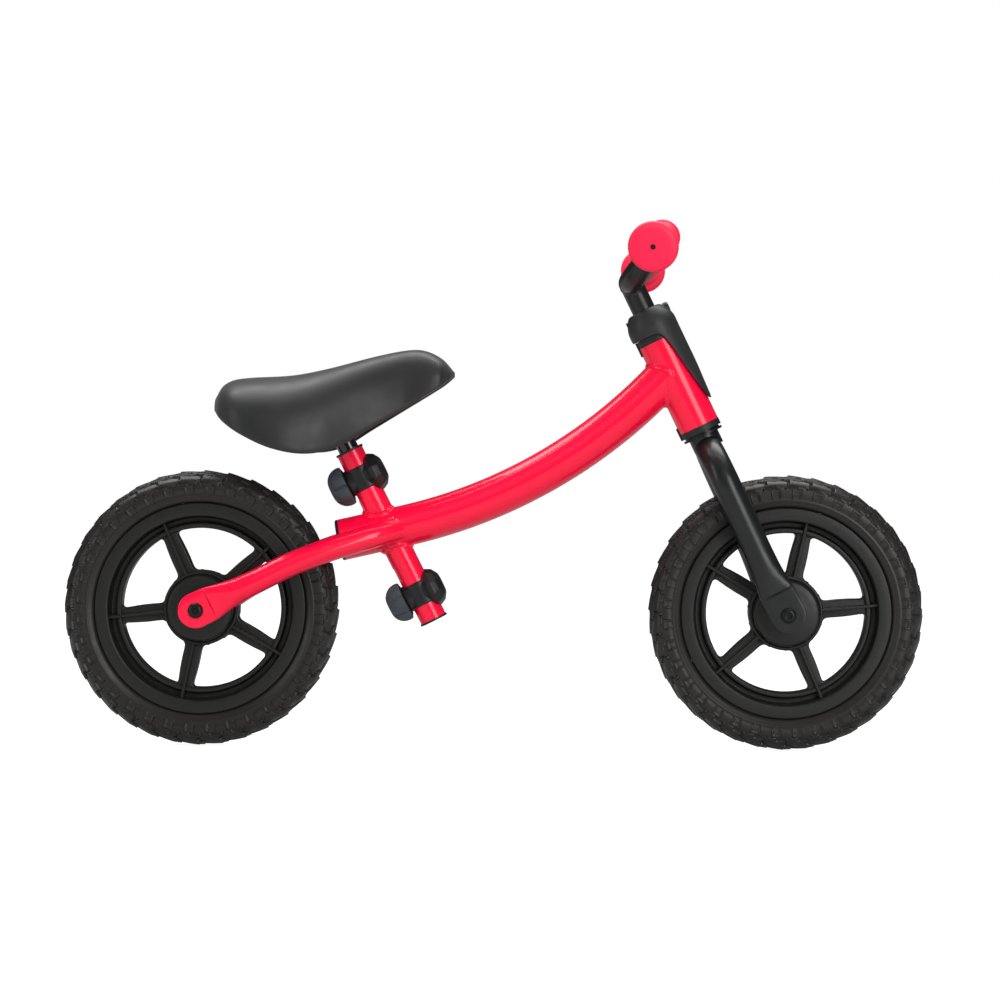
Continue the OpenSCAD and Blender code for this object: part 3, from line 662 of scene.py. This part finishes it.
def fillet(name, stubs, seams, body, finish, size, sink, seed, rounds, lump):
    """A soft weld where tubes meet: stubs of the tubes, just under their skins, blended with a
    bead along each seam, so that only the fillet shows. stubs holds (path, radius)."""
    shapes = [sweep(path, [(r, r, 2.0)] * len(path), Y_AXIS, sides=96) for path, r in stubs]
    for points in seams:
        centre = sum(points, Vector()) / len(points)
        verts = []
        for k, p in enumerate(points):
            thick = size * (1 + 0.2 * noise.noise(p * 0.2 + Vector((seed, 0, 0))))
            along = points[(k + 1) % len(points)] - points[k - 1]
            verts += ring_at(p - (p - centre).normalized() * sink, along, Y_AXIS, thick, thick, 12)
        shapes.append((verts, grid_faces(len(points), 12, closed_rows=True)))
    piece = blended(name, shapes, voxel=0.75, rounds=rounds)
    spots = [p for points in seams for p in points]
    tree = kdtree.KDTree(len(spots))
    for k, p in enumerate(spots):
        tree.insert(p, k)
    tree.balance()
    for vertex in piece.data.vertices:
        here = vertex.co / MM
        strength = 1 - step_between(tree.find(here)[2], 2.0, 6.0)
        if strength > 0:
            bumps = noise.noise(here * 0.33 + Vector((seed, 2, 0))) + 0.6 * noise.noise(here * 0.8)
            vertex.co += vertex.normal * bumps * lump * strength * MM
    return dress(piece, body, finish, crease=60)


def tube_meets_tube(foot, along, r, host, host_along, host_r, nearest, sides=72):
    """Points where a tube's skin enters a host tube's skin, or where it leaves it."""
    along, host_along = along.normalized(), host_along.normalized()
    e1 = along.cross(Y_AXIS)
    e1 = e1.normalized() if e1.length > 0.1 else X_AXIS
    e2 = along.cross(e1)
    out = []
    for k in range(sides):
        a = TAU * k / sides
        p = foot + r * (cos(a) * e1 + sin(a) * e2) - host
        p_perp = p - p.dot(host_along) * host_along
        d_perp = along - along.dot(host_along) * host_along
        qa, qb = d_perp.dot(d_perp), 2 * p_perp.dot(d_perp)
        qc = p_perp.dot(p_perp) - host_r ** 2
        root = qb * qb - 4 * qa * qc
        if root < 0:
            continue
        values = [(-qb - sqrt(root)) / (2 * qa), (-qb + sqrt(root)) / (2 * qa)]
        out.append(p + host + along * (min(values) if nearest else max(values)))
    return out


HEAD_SLOPE = radians(47.2)         # where the main tube meets the head tube
SEAT_SLOPE = 13.1                  # where its curve begins, in degrees
CROSSING_BACK = 15.9               # from there back to the seat tube's axis
NOSE_AHEAD, NOSE_UP = 3.0, 1.5     # middle of a stay's end on the main tube, from that crossing
NOSE_LONG, NOSE_HIGH = 9.0, 7.6    # and its half sizes
SKIN = 0.3                         # how far the welds' tube stubs stay under the tubes' own skins


def main_curve(slope):
    """A point on the main tube's curved centreline, and its direction there."""
    point = CURVE_CENTRE + CURVE_R * Vector((sin(slope), 0, -cos(slope)))
    return point, Vector((cos(slope), 0, sin(slope)))


def welds():
    """Weld at the head tube, and the one where main tube, seat tube and stays cross."""
    joint, along = main_curve(HEAD_SLOPE)
    head = joint_spot("steering")
    head_up = Vector(JOINTS["steering"]["axis"])
    seam = tube_meets_tube(joint, along, MAIN_R, head, head_up, HEAD_R, True)
    curved = [main_curve(radians(a))[0] for a in (41.0, 42.0, 43.0, 44.0, 45.0, 46.0)]
    stubs = [(curved, MAIN_R - SKIN), ([head + head_up * 4, head + head_up * 84], HEAD_R - SKIN)]
    fillet("weld_head", stubs, [seam], "frame", "frame_paint", size=3.0, sink=1.1, seed=1.0, rounds=26,
           lump=0.14)
    start, main_along = main_curve(radians(SEAT_SLOPE))
    crossing = start - main_along * CROSSING_BACK
    seams = [tube_meets_tube(crossing, SEAT_UP, SEAT_R, crossing, main_along, MAIN_R, nearest)
             for nearest in (False, True)]
    noses = [stay_seam(side, crossing, main_along) for side in (1, -1)]
    bent = [main_curve(radians(SEAT_SLOPE + more))[0] for more in range(4)]
    stubs = [([crossing - main_along * 34, start - main_along * 2] + bent, MAIN_R - SKIN),
             ([crossing - SEAT_UP * 36, crossing + SEAT_UP * 36], SEAT_R - SKIN)]
    fillet("weld_seat", stubs, seams + noses, "frame", "frame_paint", size=2.7, sink=0.4, seed=4.0,
           rounds=11, lump=0.7)


def stay_seam(side, crossing, along):
    """Loop where a stay's thinned front end dives into the main tube's side."""
    points = []
    up = along.cross(Y_AXIS)
    for k in range(48):
        a = TAU * k / 48
        reach = (crossing + along * (NOSE_AHEAD + NOSE_LONG * cos(a))
                 + up * (NOSE_UP + NOSE_HIGH * sin(a)))
        rise = (reach - crossing).dot(up)
        points.append(Vector((reach.x, side * (sqrt(MAIN_R ** 2 - rise ** 2) - 0.6), reach.z)))
    return points


# ---- fork ----

# Height along the head axis, place forward of it, spread, half width, half depth and squareness.
LEG = [(-62, -1.5, 40.0, 12.0, 12.7, 2.0), (-100, -1.9, 40.0, 11.9, 12.9, 2.0),
       (-128, -2.4, 40.2, 11.5, 13.2, 2.0), (-143, -2.8, 40.9, 10.4, 13.8, 2.1),
       (-153, -3.0, 42.0, 8.8, 14.6, 2.3), (-161, -3.1, 43.1, 6.6, 15.4, 2.9),
       (-166.7, -3.1, 43.9, 5.2, 16.0, 4.5), (-168.5, -3.0, 44.0, PLATE_HALF, 16.3, 9.0)]
PLATE_SPREAD = 44.0
ARCH_T, ARCH_R = -62.0, 40.0


def fork_leg_rows(side):
    """Path and sections of one leg from the arch down to its round end, side +1 for the left."""
    path, sections = [], []
    for (t0, g0, y0, *rest0), (t1, g1, y1, *rest1) in zip(LEG, LEG[1:]):
        steps = max(int((t0 - t1) / 1.6), 1)
        for i in range(steps):
            u = i / steps
            path.append(Vector((g0 + (g1 - g0) * u, side * (y0 + (y1 - y0) * u), t0 + (t1 - t0) * u)))
            sections.append(tuple(a + (b - a) * u for a, b in zip(rest0, rest1)))
    axle = HEAD.inverted() @ FRONT_AXLE
    start = Vector((LEG[-1][1], side * PLATE_SPREAD, LEG[-1][0]))
    end = Vector((axle.x, side * PLATE_SPREAD, axle.z))
    along = (end - start).normalized()
    end_path, end_sections = round_plate(end, along)
    return path + [start] + end_path, sections + [LEG[-1][3:]] + end_sections


def fork():
    """Both legs and the arch between them as one bent tube."""
    left_path, left_sections = fork_leg_rows(1)
    right_path, right_sections = fork_leg_rows(-1)
    arch, arch_sections = [], []
    for k in range(1, 40):
        a = pi * k / 40
        arch.append(Vector((-1.5 + 0.5 * sin(a), -ARCH_R * cos(a), ARCH_T + ARCH_R * sin(a))))
        arch_sections.append((LEG_R, LEG_R + 0.7, 2.0))
    path = right_path[::-1] + arch + left_path
    sections = right_sections[::-1] + arch_sections + left_sections
    verts, faces = sweep(path, sections, X_AXIS, sides=64)
    make_piece("fork_tube", verts, faces, "fork", "black_paint", HEAD,
               ("fork_crown", "fork_leg_right", "fork_leg_left"), crease=34)


# ---- steering cover ----

COVER_TOP, COVER_FOOT = 118.4, 94.3
# Height and outer radius of the collar, then angle from straight ahead and height of the lower edge.
COVER_PROFILE = [(94.3, 22.5), (102, 22.6), (106, 21.9), (111, 20.2), (115, 18.0), (117.6, 15.9),
                 (118.4, 13.6)]
SHIELD_EDGE = [(0, 19.4), (12, 19.7), (22, 21.2), (32, 26.0), (42, 35.0), (52, 48.5), (60, 63.0), (67, 77.5),
               (74, 87.0), (84, 92.4), (96, 94.2), (110, 94.3), (180, 94.3)]
SHELL = 1.7          # wall thickness
COVER_LIP = 0.45     # rounding of the lower edge
FRONT_BULGE = 1.2    # how much further the front stands out
COLLAR_BORE = 11.4
COVER_SIDES = 160


def cover_edge(turn):
    """Height of the cover's lower edge at an angle from straight ahead."""
    away = abs((degrees(turn) + 180) % 360 - 180)
    return min(smooth_table(SHIELD_EDGE, min(away, 179.9)), COVER_FOOT)


def cover_wall(inset, low_rows=18, high_rows=22):
    """Rows of points up one skin of the cover: inset 0 is outside, SHELL inside."""
    steps = [("shield", i / low_rows) for i in range(low_rows)]
    steps += [("collar", sin(pi / 2 * i / high_rows)) for i in range(high_rows + 1)]
    lip_way = 1 if inset == 0 else -1
    verts = []
    for part, u in steps:
        for k in range(COVER_SIDES):
            a = TAU * k / COVER_SIDES
            edge = cover_edge(a)
            if part == "shield":
                t = edge + (COVER_FOOT - edge) * u
            else:
                t = COVER_FOOT + (COVER_TOP - COVER_FOOT) * u
            r = smooth_table(COVER_PROFILE, min(max(t, COVER_FOOT), COVER_TOP - 0.01))
            lip = COVER_LIP * (1 - step_between(t - edge, 0, 1.4))
            r -= inset + lip_way * lip
            bulge = FRONT_BULGE * step_between(t, 20, 60) * step_between(COVER_TOP - t, 0, 12)
            r += bulge * max(cos(a), 0)
            t -= 0.8 * inset * step_between(t, 104, COVER_TOP)
            verts.append((r * cos(a), r * sin(a), t))
    return verts


def steering_cover():
    """Collar round the stem with a shield that sweeps down ahead of the head tube."""
    outer = cover_wall(0.0)
    inner = cover_wall(SHELL)
    rows = len(inner) // COVER_SIDES
    bore, _ = revolve([(COLLAR_BORE, COVER_TOP), (COLLAR_BORE, COVER_TOP - 1.5)], COVER_SIDES)
    verts = outer + bore
    for i in range(rows - 1, -1, -1):
        verts += inner[i * COVER_SIDES:(i + 1) * COVER_SIDES]
    faces = grid_faces(2 * rows + 2, COVER_SIDES, closed_rows=True)
    make_piece("steering_cover_moulding", verts, faces, "fork", "cover_plastic", HEAD, ("steering_cover",),
               crease=50)


BUTTON_T, BUTTON_R = 112.0, 5.2
BUTTON_FOOT, BUTTON_FACE = 17.6, 22.8


def release_button():
    """Domed push button in the front of the cover."""
    ahead = HEAD @ Matrix.Translation((0, 0, BUTTON_T)) @ Matrix.Rotation(pi / 2, 4, "Y")
    dome = [(BUTTON_R, BUTTON_FACE - 1.7), (BUTTON_R - 0.35, BUTTON_FACE - 0.9),
            (BUTTON_R - 1.1, BUTTON_FACE - 0.35), (BUTTON_R - 2.2, BUTTON_FACE - 0.08), (0, BUTTON_FACE)]
    verts, faces = revolve([(0, BUTTON_FOOT), (BUTTON_R, BUTTON_FOOT)] + dome, 72)
    make_piece("release_button_cap", verts, faces, "release_button", "sleeve_plastic", ahead,
               ("release_button",))


# ---- handlebar ----

BAR_STRAIGHT, BAR_UP, BAR_UP_R = 10.3, 52.3, 36.0
BAR_RISE, BAR_OUT, BAR_OUT_R = 26.4, -62.3, 30.0
GRIP_GAP, GRIP_LEN = 3.2, 113.7
RIB_FROM, RIB_TO, RIB_STEP, RIB_FOOT = 9.0, 97.0, 4.4, 13.9


def bar_half():
    """Points of the bar's left half in its own plane, and the place and heading where the grip starts."""
    spot, heading = Vector((0, 0, 0)), 0.0
    points = [spot.copy()]

    def forward(length):
        nonlocal spot
        spot = spot + length * Vector((0, cos(heading), sin(heading)))
        points.append(spot.copy())

    def turn(bend, radius, steps=16):
        nonlocal heading
        part = radians(bend) / steps
        for _ in range(steps):
            heading += part / 2
            forward(2 * radius * sin(abs(part) / 2))
            heading += part / 2

    forward(BAR_STRAIGHT)
    turn(BAR_UP, BAR_UP_R)
    forward(BAR_RISE)
    turn(BAR_OUT, BAR_OUT_R)
    forward(GRIP_GAP)
    grip_at = spot.copy()
    forward(GRIP_LEN - 4)
    return points, grip_at, heading


def grip_shape():
    """Moulded grip along local Z: inner collar, ribbed body and domed end flange."""
    profile = [(10.95, 0.0), (14.6, 0.0), (15.4, 0.5), (15.9, 1.6), (16.0, 4.0), (15.6, 5.0), (14.5, 5.6),
               (RIB_FOOT, 7.0)]
    z = RIB_FROM
    while z < RIB_TO:
        profile += [(RIB_FOOT, z), (14.6, z + 0.7), (14.75, z + 1.6), (14.6, z + 2.5), (RIB_FOOT, z + 3.2)]
        z += RIB_STEP
    profile += [(RIB_FOOT, 101.0), (14.6, 102.6), (17.5, 103.8), (20.6, 104.8), (21.7, 106.0), (22.0, 107.8),
                (21.9, 110.0), (21.0, 111.8), (19.0, 112.9), (15.0, 113.4), (9.0, 113.7), (2.8, 113.7),
                (2.5, 113.4), (2.4, 106.0), (0.0, 106.0)]
    return revolve(profile, 96)


def handlebar():
    """Bent crossbar, stem, the weld between them and both grips."""
    points, grip_at, heading = bar_half()
    path = [Vector((0, -p.y, p.z)) for p in reversed(points[1:])] + points
    verts, faces = sweep(path, [(BAR_R, BAR_R, 2.0)] * len(path), X_AXIS, sides=56)
    make_piece("bar_tube", verts, faces, "handlebar", "black_paint", BAR, ("handlebar_tube",))
    verts, faces = revolve([(0, 18.0), (9.4, 18.0), (BAR_R, 19.2), (BAR_R, STEM_TOP - 1)], 64)
    make_piece("stem_post", verts, faces, "handlebar", "black_paint", HEAD, ("stem_tube",))
    stem_up = HEAD.to_3x3() @ Z_AXIS
    bar_centre = BAR.to_translation()
    seam = tube_meets_tube(bar_centre - 40 * stem_up, stem_up, BAR_R - 0.2, bar_centre, Y_AXIS, BAR_R, True)
    bar_middle = [bar_centre - 9 * Y_AXIS, bar_centre + 9 * Y_AXIS]
    fillet("weld_stem", [([bar_centre - 30 * stem_up, bar_centre], BAR_R - SKIN), (bar_middle, BAR_R - SKIN)],
           [seam], "handlebar", "black_paint", size=1.9, sink=0.8, seed=2.0, rounds=16, lump=0.15)
    for side, name in ((1, "left"), (-1, "right")):
        out = Vector((0, side * cos(heading), sin(heading)))
        spot = Vector((grip_at.x, side * grip_at.y, grip_at.z))
        place = BAR @ axes_frame(spot, X_AXIS, out.cross(X_AXIS), out)
        verts, faces = grip_shape()
        make_piece(f"grip_{name}_moulding", verts, faces, "handlebar", "grip_rubber", place,
                   (f"grip_{name}",), crease=45)


# ---- seat clamps and knobs ----

LOBES = 6
HOUSING_SIDES = 10
HOUSING_WIDER = 1.1    # the housing across the bike, so that the band runs into it
HOUSING = [(0, -6), (11.0, -6), (11.4, 0), (12.8, 3.5), (14.9, 6.5), (17.0, 8.8), (18.4, 11),
           (18.2, 13.4), (15.6, 18.4), (9.6, 22.2), (0, 22.8)]
BOSS = [(0, 6), (12.5, 6), (12.8, 12.5), (12.2, 14.4), (0, 14.4)]
BAND = [(0, -11), (13.5, -11), (14.1, -10.2), (14.1, 10.2), (13.5, 11), (0, 11)]
KNOB = [(4.1, 17.2), (15.4, 17.0), (15.7, 15.6), (17.4, 15.1), (18.3, 16.0), (18.7, 18.4), (18.4, 21.4),
        (17.6, 24.2), (16.0, 27.0), (13.6, 29.4), (10.6, 31.2), (7.8, 32.0), (7.2, 31.5), (0.0, 31.5)]
DISC = [(4.1, 14.5), (14.6, 14.5), (15.0, 14.8), (15.0, 15.9), (14.6, 16.2), (4.1, 16.2)]


def clamp_body(which, s):
    """Moulded clamp: a band round the seat tube, a housing ahead of it and a boss behind."""
    ahead = Matrix.Diagonal((1, HOUSING_WIDER, 1, 1)) @ Matrix.Rotation(pi / 2, 4, "Y")
    behind = Matrix.Rotation(-pi / 2, 4, "Y")
    shapes = [revolve(BAND, 96), placed(revolve(HOUSING, HOUSING_SIDES), ahead),
              placed(revolve(BOSS, 64), behind)]
    bore = rod(SEAT_R + 0.1, -20, 20)
    slot = bar_block(-18.0, -6.0, 1.0, 12.0, 12.0)
    place = SEAT @ Matrix.Translation((0, 0, s))
    piece = blended(f"{which}_clamp_moulding", shapes, voxel=0.55, rounds=4, cutters=(bore, slot),
                    place=place)
    dress(piece, "frame", "clamp_plastic", (f"{which}_clamp",), crease=38)


def lobed(phase):
    """Wobble that gives the knob its finger lobes, deepest at the rim."""
    def wobble(a, r, z):
        depth = 0.24 * step_between(r, 7, 16)
        return 1 - depth * (1 - abs(cos(LOBES / 2 * (a - phase))) ** 0.6)
    return wobble


def serrated(a, r, z):
    """Wobble that gives the washer its fine teeth."""
    return 1 + 0.012 * sin(45 * a) * (r > 14)


def knob(which, s, phase):
    """Lobed hand knob and the serrated washer under it."""
    place = behind_seat(s)
    verts, faces = revolve(softened_profile(KNOB, 0.5), 168, wobble=lobed(phase))
    make_piece(f"{which}_knob_moulding", verts, faces, f"{which}_knob", "knob_rubber", place,
               (f"{which}_knob",), crease=50)
    verts, faces = revolve(DISC, 180, closed=True, wobble=serrated)
    make_piece(f"{which}_knob_disc", verts, faces, f"{which}_washer", "clamp_plastic", place,
               (f"{which}_knob_washer",))


# ---- saddle ----

SADDLE_STATIONS, SADDLE_SIDES = 96, 40
SADDLE_WALL, SADDLE_PAD = 5.0, 9.0       # thickness of the skirt and of the padding
SADDLE_ROOF = 305.0                      # height of the hollow under the padding
# Place along the bike with, in turn, height of the top, height of the skirt's edge and half width.
SADDLE_TOP = [(-256.5, 322), (-249, 333), (-235, 338.5), (-188, 342), (-157, 348), (-108, 361), (-79, 366.5),
              (-64, 365.5), (-49, 358), (-38, 346)]
SADDLE_SKIRT = [(-256.5, 310), (-246, 300), (-228, 288.5), (-201, 276.6), (-171, 271.6), (-144, 277),
                (-115, 294), (-50, 334), (-38, 343)]
SADDLE_HALF = [(-256.5, 30), (-250, 52), (-232, 70), (-200, 75), (-165, 66), (-120, 42), (-85, 31.5),
               (-52, 28), (-42, 16), (-38, 3)]


def smooth_table(table, x):
    """Smooth curve through a table's points at x."""
    xs = [p[0] for p in table]
    k = max(i for i in range(len(xs) - 1) if xs[i] <= x + 1e-9)
    x0, x1 = xs[k], xs[k + 1]
    u = (x - x0) / (x1 - x0)
    y0, y1 = table[k][1], table[k + 1][1]

    def slope(i):
        if i <= 0 or i >= len(xs) - 1:
            j = min(max(i, 1), len(xs) - 1)
            return (table[j][1] - table[j - 1][1]) / (xs[j] - xs[j - 1])
        return (table[i + 1][1] - table[i - 1][1]) / (xs[i + 1] - xs[i - 1])

    m0, m1 = slope(k) * (x1 - x0), slope(k + 1) * (x1 - x0)
    return ((2 * u ** 3 - 3 * u * u + 1) * y0 + (u ** 3 - 2 * u * u + u) * m0
            + (-2 * u ** 3 + 3 * u * u) * y1 + (u ** 3 - u * u) * m1)


def saddle_ring(x):
    """Closed outline of the saddle at one place along the bike: padded top, rounded skirt edge and
    hollow underside."""
    top, low, half = (smooth_table(t, x) for t in (SADDLE_TOP, SADDLE_SKIRT, SADDLE_HALF))
    side = []
    for k in range(SADDLE_SIDES + 1):
        a = pi / 2 * k / SADDLE_SIDES
        side.append((x, half * cos(a) ** (2 / 2.7), low + (top - low) * sin(a) ** (2 / 2.3)))
    wall = min(SADDLE_WALL, half * 0.3)
    inner = half - wall
    roof = max(min(top - SADDLE_PAD, SADDLE_ROOF + 0.35 * max(x + 120, 0)), low + 0.5)
    under = [(half - 0.5, low - 0.9), (half - 1.5, low - 1.3), (inner + 0.8, low - 0.9), (inner, low + 0.2),
             (inner - 0.8, low + (roof - low) * 0.5), (inner - 2.2, low + (roof - low) * 0.85),
             (inner * 0.8, roof), (inner * 0.4, roof)]
    under = [(x, max(y, 0.3), z) for y, z in under]
    ring = side + [(x, -y, z) for x, y, z in reversed(side[:-1])]
    return ring + [(x, -y, z) for x, y, z in under] + [(x, 0.0, roof)] + under[::-1]


def saddle():
    """Padded saddle, its outlines closer together towards the ends."""
    rear, nose = SADDLE_TOP[0][0], SADDLE_TOP[-1][0]
    verts = []
    for i in range(SADDLE_STATIONS + 1):
        u = i / SADDLE_STATIONS
        ease = 0.5 - 0.5 * cos(pi * u)
        ring = saddle_ring(rear + (nose - rear) * (0.35 * u + 0.65 * ease))
        verts += ring
    columns = len(ring)
    faces = grid_faces(SADDLE_STATIONS + 1, columns)
    faces.append(tuple(range(columns)))
    faces.append(tuple(range(len(verts) - 1, len(verts) - columns - 1, -1)))
    piece = make_piece("saddle_pad", verts, faces, "seat", "saddle_foam", stands_for=("saddle",), crease=42)


# ---- fasteners ----

def button_head(r, high, socket, depth):
    """Domed screw head along local Z with a hexagonal socket."""
    def hexagon(a, radius, z):
        if radius > socket + 0.1:
            return 1.0
        return 1 / cos((a % (pi / 3)) - pi / 6) * cos(pi / 6) * 1.1

    profile = [(r - 0.3, 0.0), (r, 0.3), (r, high * 0.3), (r * 0.93, high * 0.58),
               (r * 0.78, high * 0.82), (r * 0.6, high * 0.97), (socket + 0.5, high),
               (socket, high - 0.2), (socket * 0.97, high - depth), (0, high - depth)]
    return revolve(profile, 72, wobble=hexagon)


def axle_heads():
    """Screw heads on both sides of each axle."""
    turns = (Matrix.Identity(4), Matrix.Rotation(pi, 4, "X"))
    for end, centre, face, body in (("rear", REAR_AXLE, 51.0, "frame"), ("front", FRONT_AXLE, 47.0, "fork")):
        head = merged(button_head(r=7.0, high=4.0, socket=2.9, depth=2.4), rod(3.9, -14, 0.4, 48))
        at_faces = [wheel_frame(centre) @ turn @ Matrix.Translation((0, 0, face)) for turn in turns]
        verts, faces = merged(*[placed(head, at_face) for at_face in at_faces])
        make_piece(f"{end}_axle_screws", verts, faces, body, "black_bolt", stands_for=(f"{end}_axle_bolts",))


# ---- carried-over CAD nodes ----

KEPT = {
    "frame_paint": ("main_tube", "head_tube", "seat_tube"),
    "black_paint": ("steerer_tube",),
    "sleeve_plastic": ("main_tube_plug", "seat_sleeve_top", "seat_sleeve_bottom", "upper_headset_cup",
                       "lower_headset_cup", "saddle_pan"),
    "steel": ("clamp_nuts", "rear_axle", "front_axle", "rear_bearings", "front_bearings", "button_guide_pin",
              "saddle_screws"),
    "black_bolt": ("rear_axle_spacers", "front_axle_spacers", "crown_race", "cover_screw",
                   "upper_knob_bolt", "lower_knob_bolt"),
    "post_paint": ("seat_post",),
}


def carry_over():
    """Gives the CAD nodes that stay as they are their finishes."""
    for finish, names in KEPT.items():
        for name in names:
            node = frame["nodes"][name]
            for slot in node.material_slots:
                slot.material = MATERIALS[finish]


# ---- studio ----

# Name, place, aim, size, watts and whether glossy surfaces mirror it.
LIGHTS = (("top_soft", (-0.1, 0.7, 2.5), (0, 0, 0.3), (3.4, 1.2), 58, True),
          ("top_strip", (0.0, -0.45, 2.5), (0, 0, 0.3), (3.0, 0.2), 7, True),
          ("front_fill", (0.0, -2.8, 2.0), (0, 0, 0.2), (3.0, 1.4), 66, False),
          ("right_panel", (1.5, -2.3, 0.9), (0.1, 0, 0.3), (1.1, 1.8), 26, True),
          ("left_strip", (-2.4, -1.3, 0.9), (0, 0, 0.25), (0.5, 1.6), 8, True))
EYE = (0.0736, -2.75, 0.294)
ROLL = radians(0.51)


def studio_world():
    """White to the camera, dim to glossy surfaces and a soft fill for the rest."""
    world = bpy.data.worlds.new("studio")
    bpy.context.scene.world = world
    tree = empty_tree(world)
    link = tree.links.new
    seen, fill = [tree.nodes.new("ShaderNodeBackground") for _ in range(2)]
    for background in (seen, fill):
        background.inputs["Color"].default_value = (1, 1, 1, 1)
    path = tree.nodes.new("ShaderNodeLightPath")
    glossy = range_node(tree, path.outputs["Is Glossy Ray"], 0.28, 0.05)
    mix = tree.nodes.new("ShaderNodeMixShader")
    output = tree.nodes.new("ShaderNodeOutputWorld")
    link(glossy.outputs["Result"], fill.inputs["Strength"])
    link(path.outputs["Is Camera Ray"], mix.inputs["Fac"])
    link(fill.outputs["Background"], mix.inputs[1])
    link(seen.outputs["Background"], mix.inputs[2])
    link(mix.outputs["Shader"], output.inputs["Surface"])


def studio_floor():
    """Plain pale floor that looks near white to the camera and bounces little light."""
    material = bpy.data.materials.new("floor")
    tree = empty_tree(material)
    link = tree.links.new
    lit = tree.nodes.new("ShaderNodeBsdfDiffuse")
    lit.inputs["Color"].default_value = (0.3, 0.3, 0.3, 1)
    glow = tree.nodes.new("ShaderNodeEmission")
    path = tree.nodes.new("ShaderNodeLightPath")
    strength = range_node(tree, path.outputs["Is Camera Ray"], 0.12, 0.94)
    both = tree.nodes.new("ShaderNodeAddShader")
    output = tree.nodes.new("ShaderNodeOutputMaterial")
    link(strength.outputs["Result"], glow.inputs["Strength"])
    link(lit.outputs["BSDF"], both.inputs[0])
    link(glow.outputs["Emission"], both.inputs[1])
    link(both.outputs["Shader"], output.inputs["Surface"])
    bpy.ops.mesh.primitive_circle_add(vertices=96, radius=6.0, fill_type="NGON", location=(0, 0, -0.0006))
    floor = bpy.context.object
    floor.name = "floor"
    floor.data.materials.append(material)


def studio_lights():
    """Soft area lights, and colours shown as they are."""
    for name, spot, aim, size, power, shiny in LIGHTS:
        light = bpy.data.lights.new(name, "AREA")
        light.shape = "RECTANGLE"
        light.size, light.size_y = size
        light.energy = power
        lamp = bpy.data.objects.new(name, light)
        lamp.location = spot
        lamp.visible_glossy = shiny
        lamp.rotation_euler = (Vector(aim) - Vector(spot)).to_track_quat("-Z", "Y").to_euler()
        put_in_scene(lamp)
    view = bpy.context.scene.view_settings
    view.view_transform = "Standard"
    view.look = "None"


def camera():
    """Long lens from the bike's right side, square to it."""
    right = Vector((cos(ROLL), 0, sin(ROLL)))
    up = Vector((-sin(ROLL), 0, cos(ROLL)))
    data = bpy.data.cameras.new("camera")
    data.sensor_width = 36
    data.lens = 107.03
    data.shift_x = -0.075
    data.shift_y = -0.07
    eye = bpy.data.objects.new("camera", data)
    eye.matrix_world = axes_frame(EYE, right, up, right.cross(up))
    put_in_scene(eye)
    bpy.context.scene.camera = eye


camera()
studio_world()
studio_floor()
studio_lights()
wheels()
stay("right")
stay("left")
welds()
fork()
steering_cover()
release_button()
handlebar()
for which, s, phase in (("upper", CLAMP_HIGH, 0.0), ("lower", CLAMP_LOW, radians(20))):
    clamp_body(which, s)
    knob(which, s, phase)
saddle()
axle_heads()
carry_over()
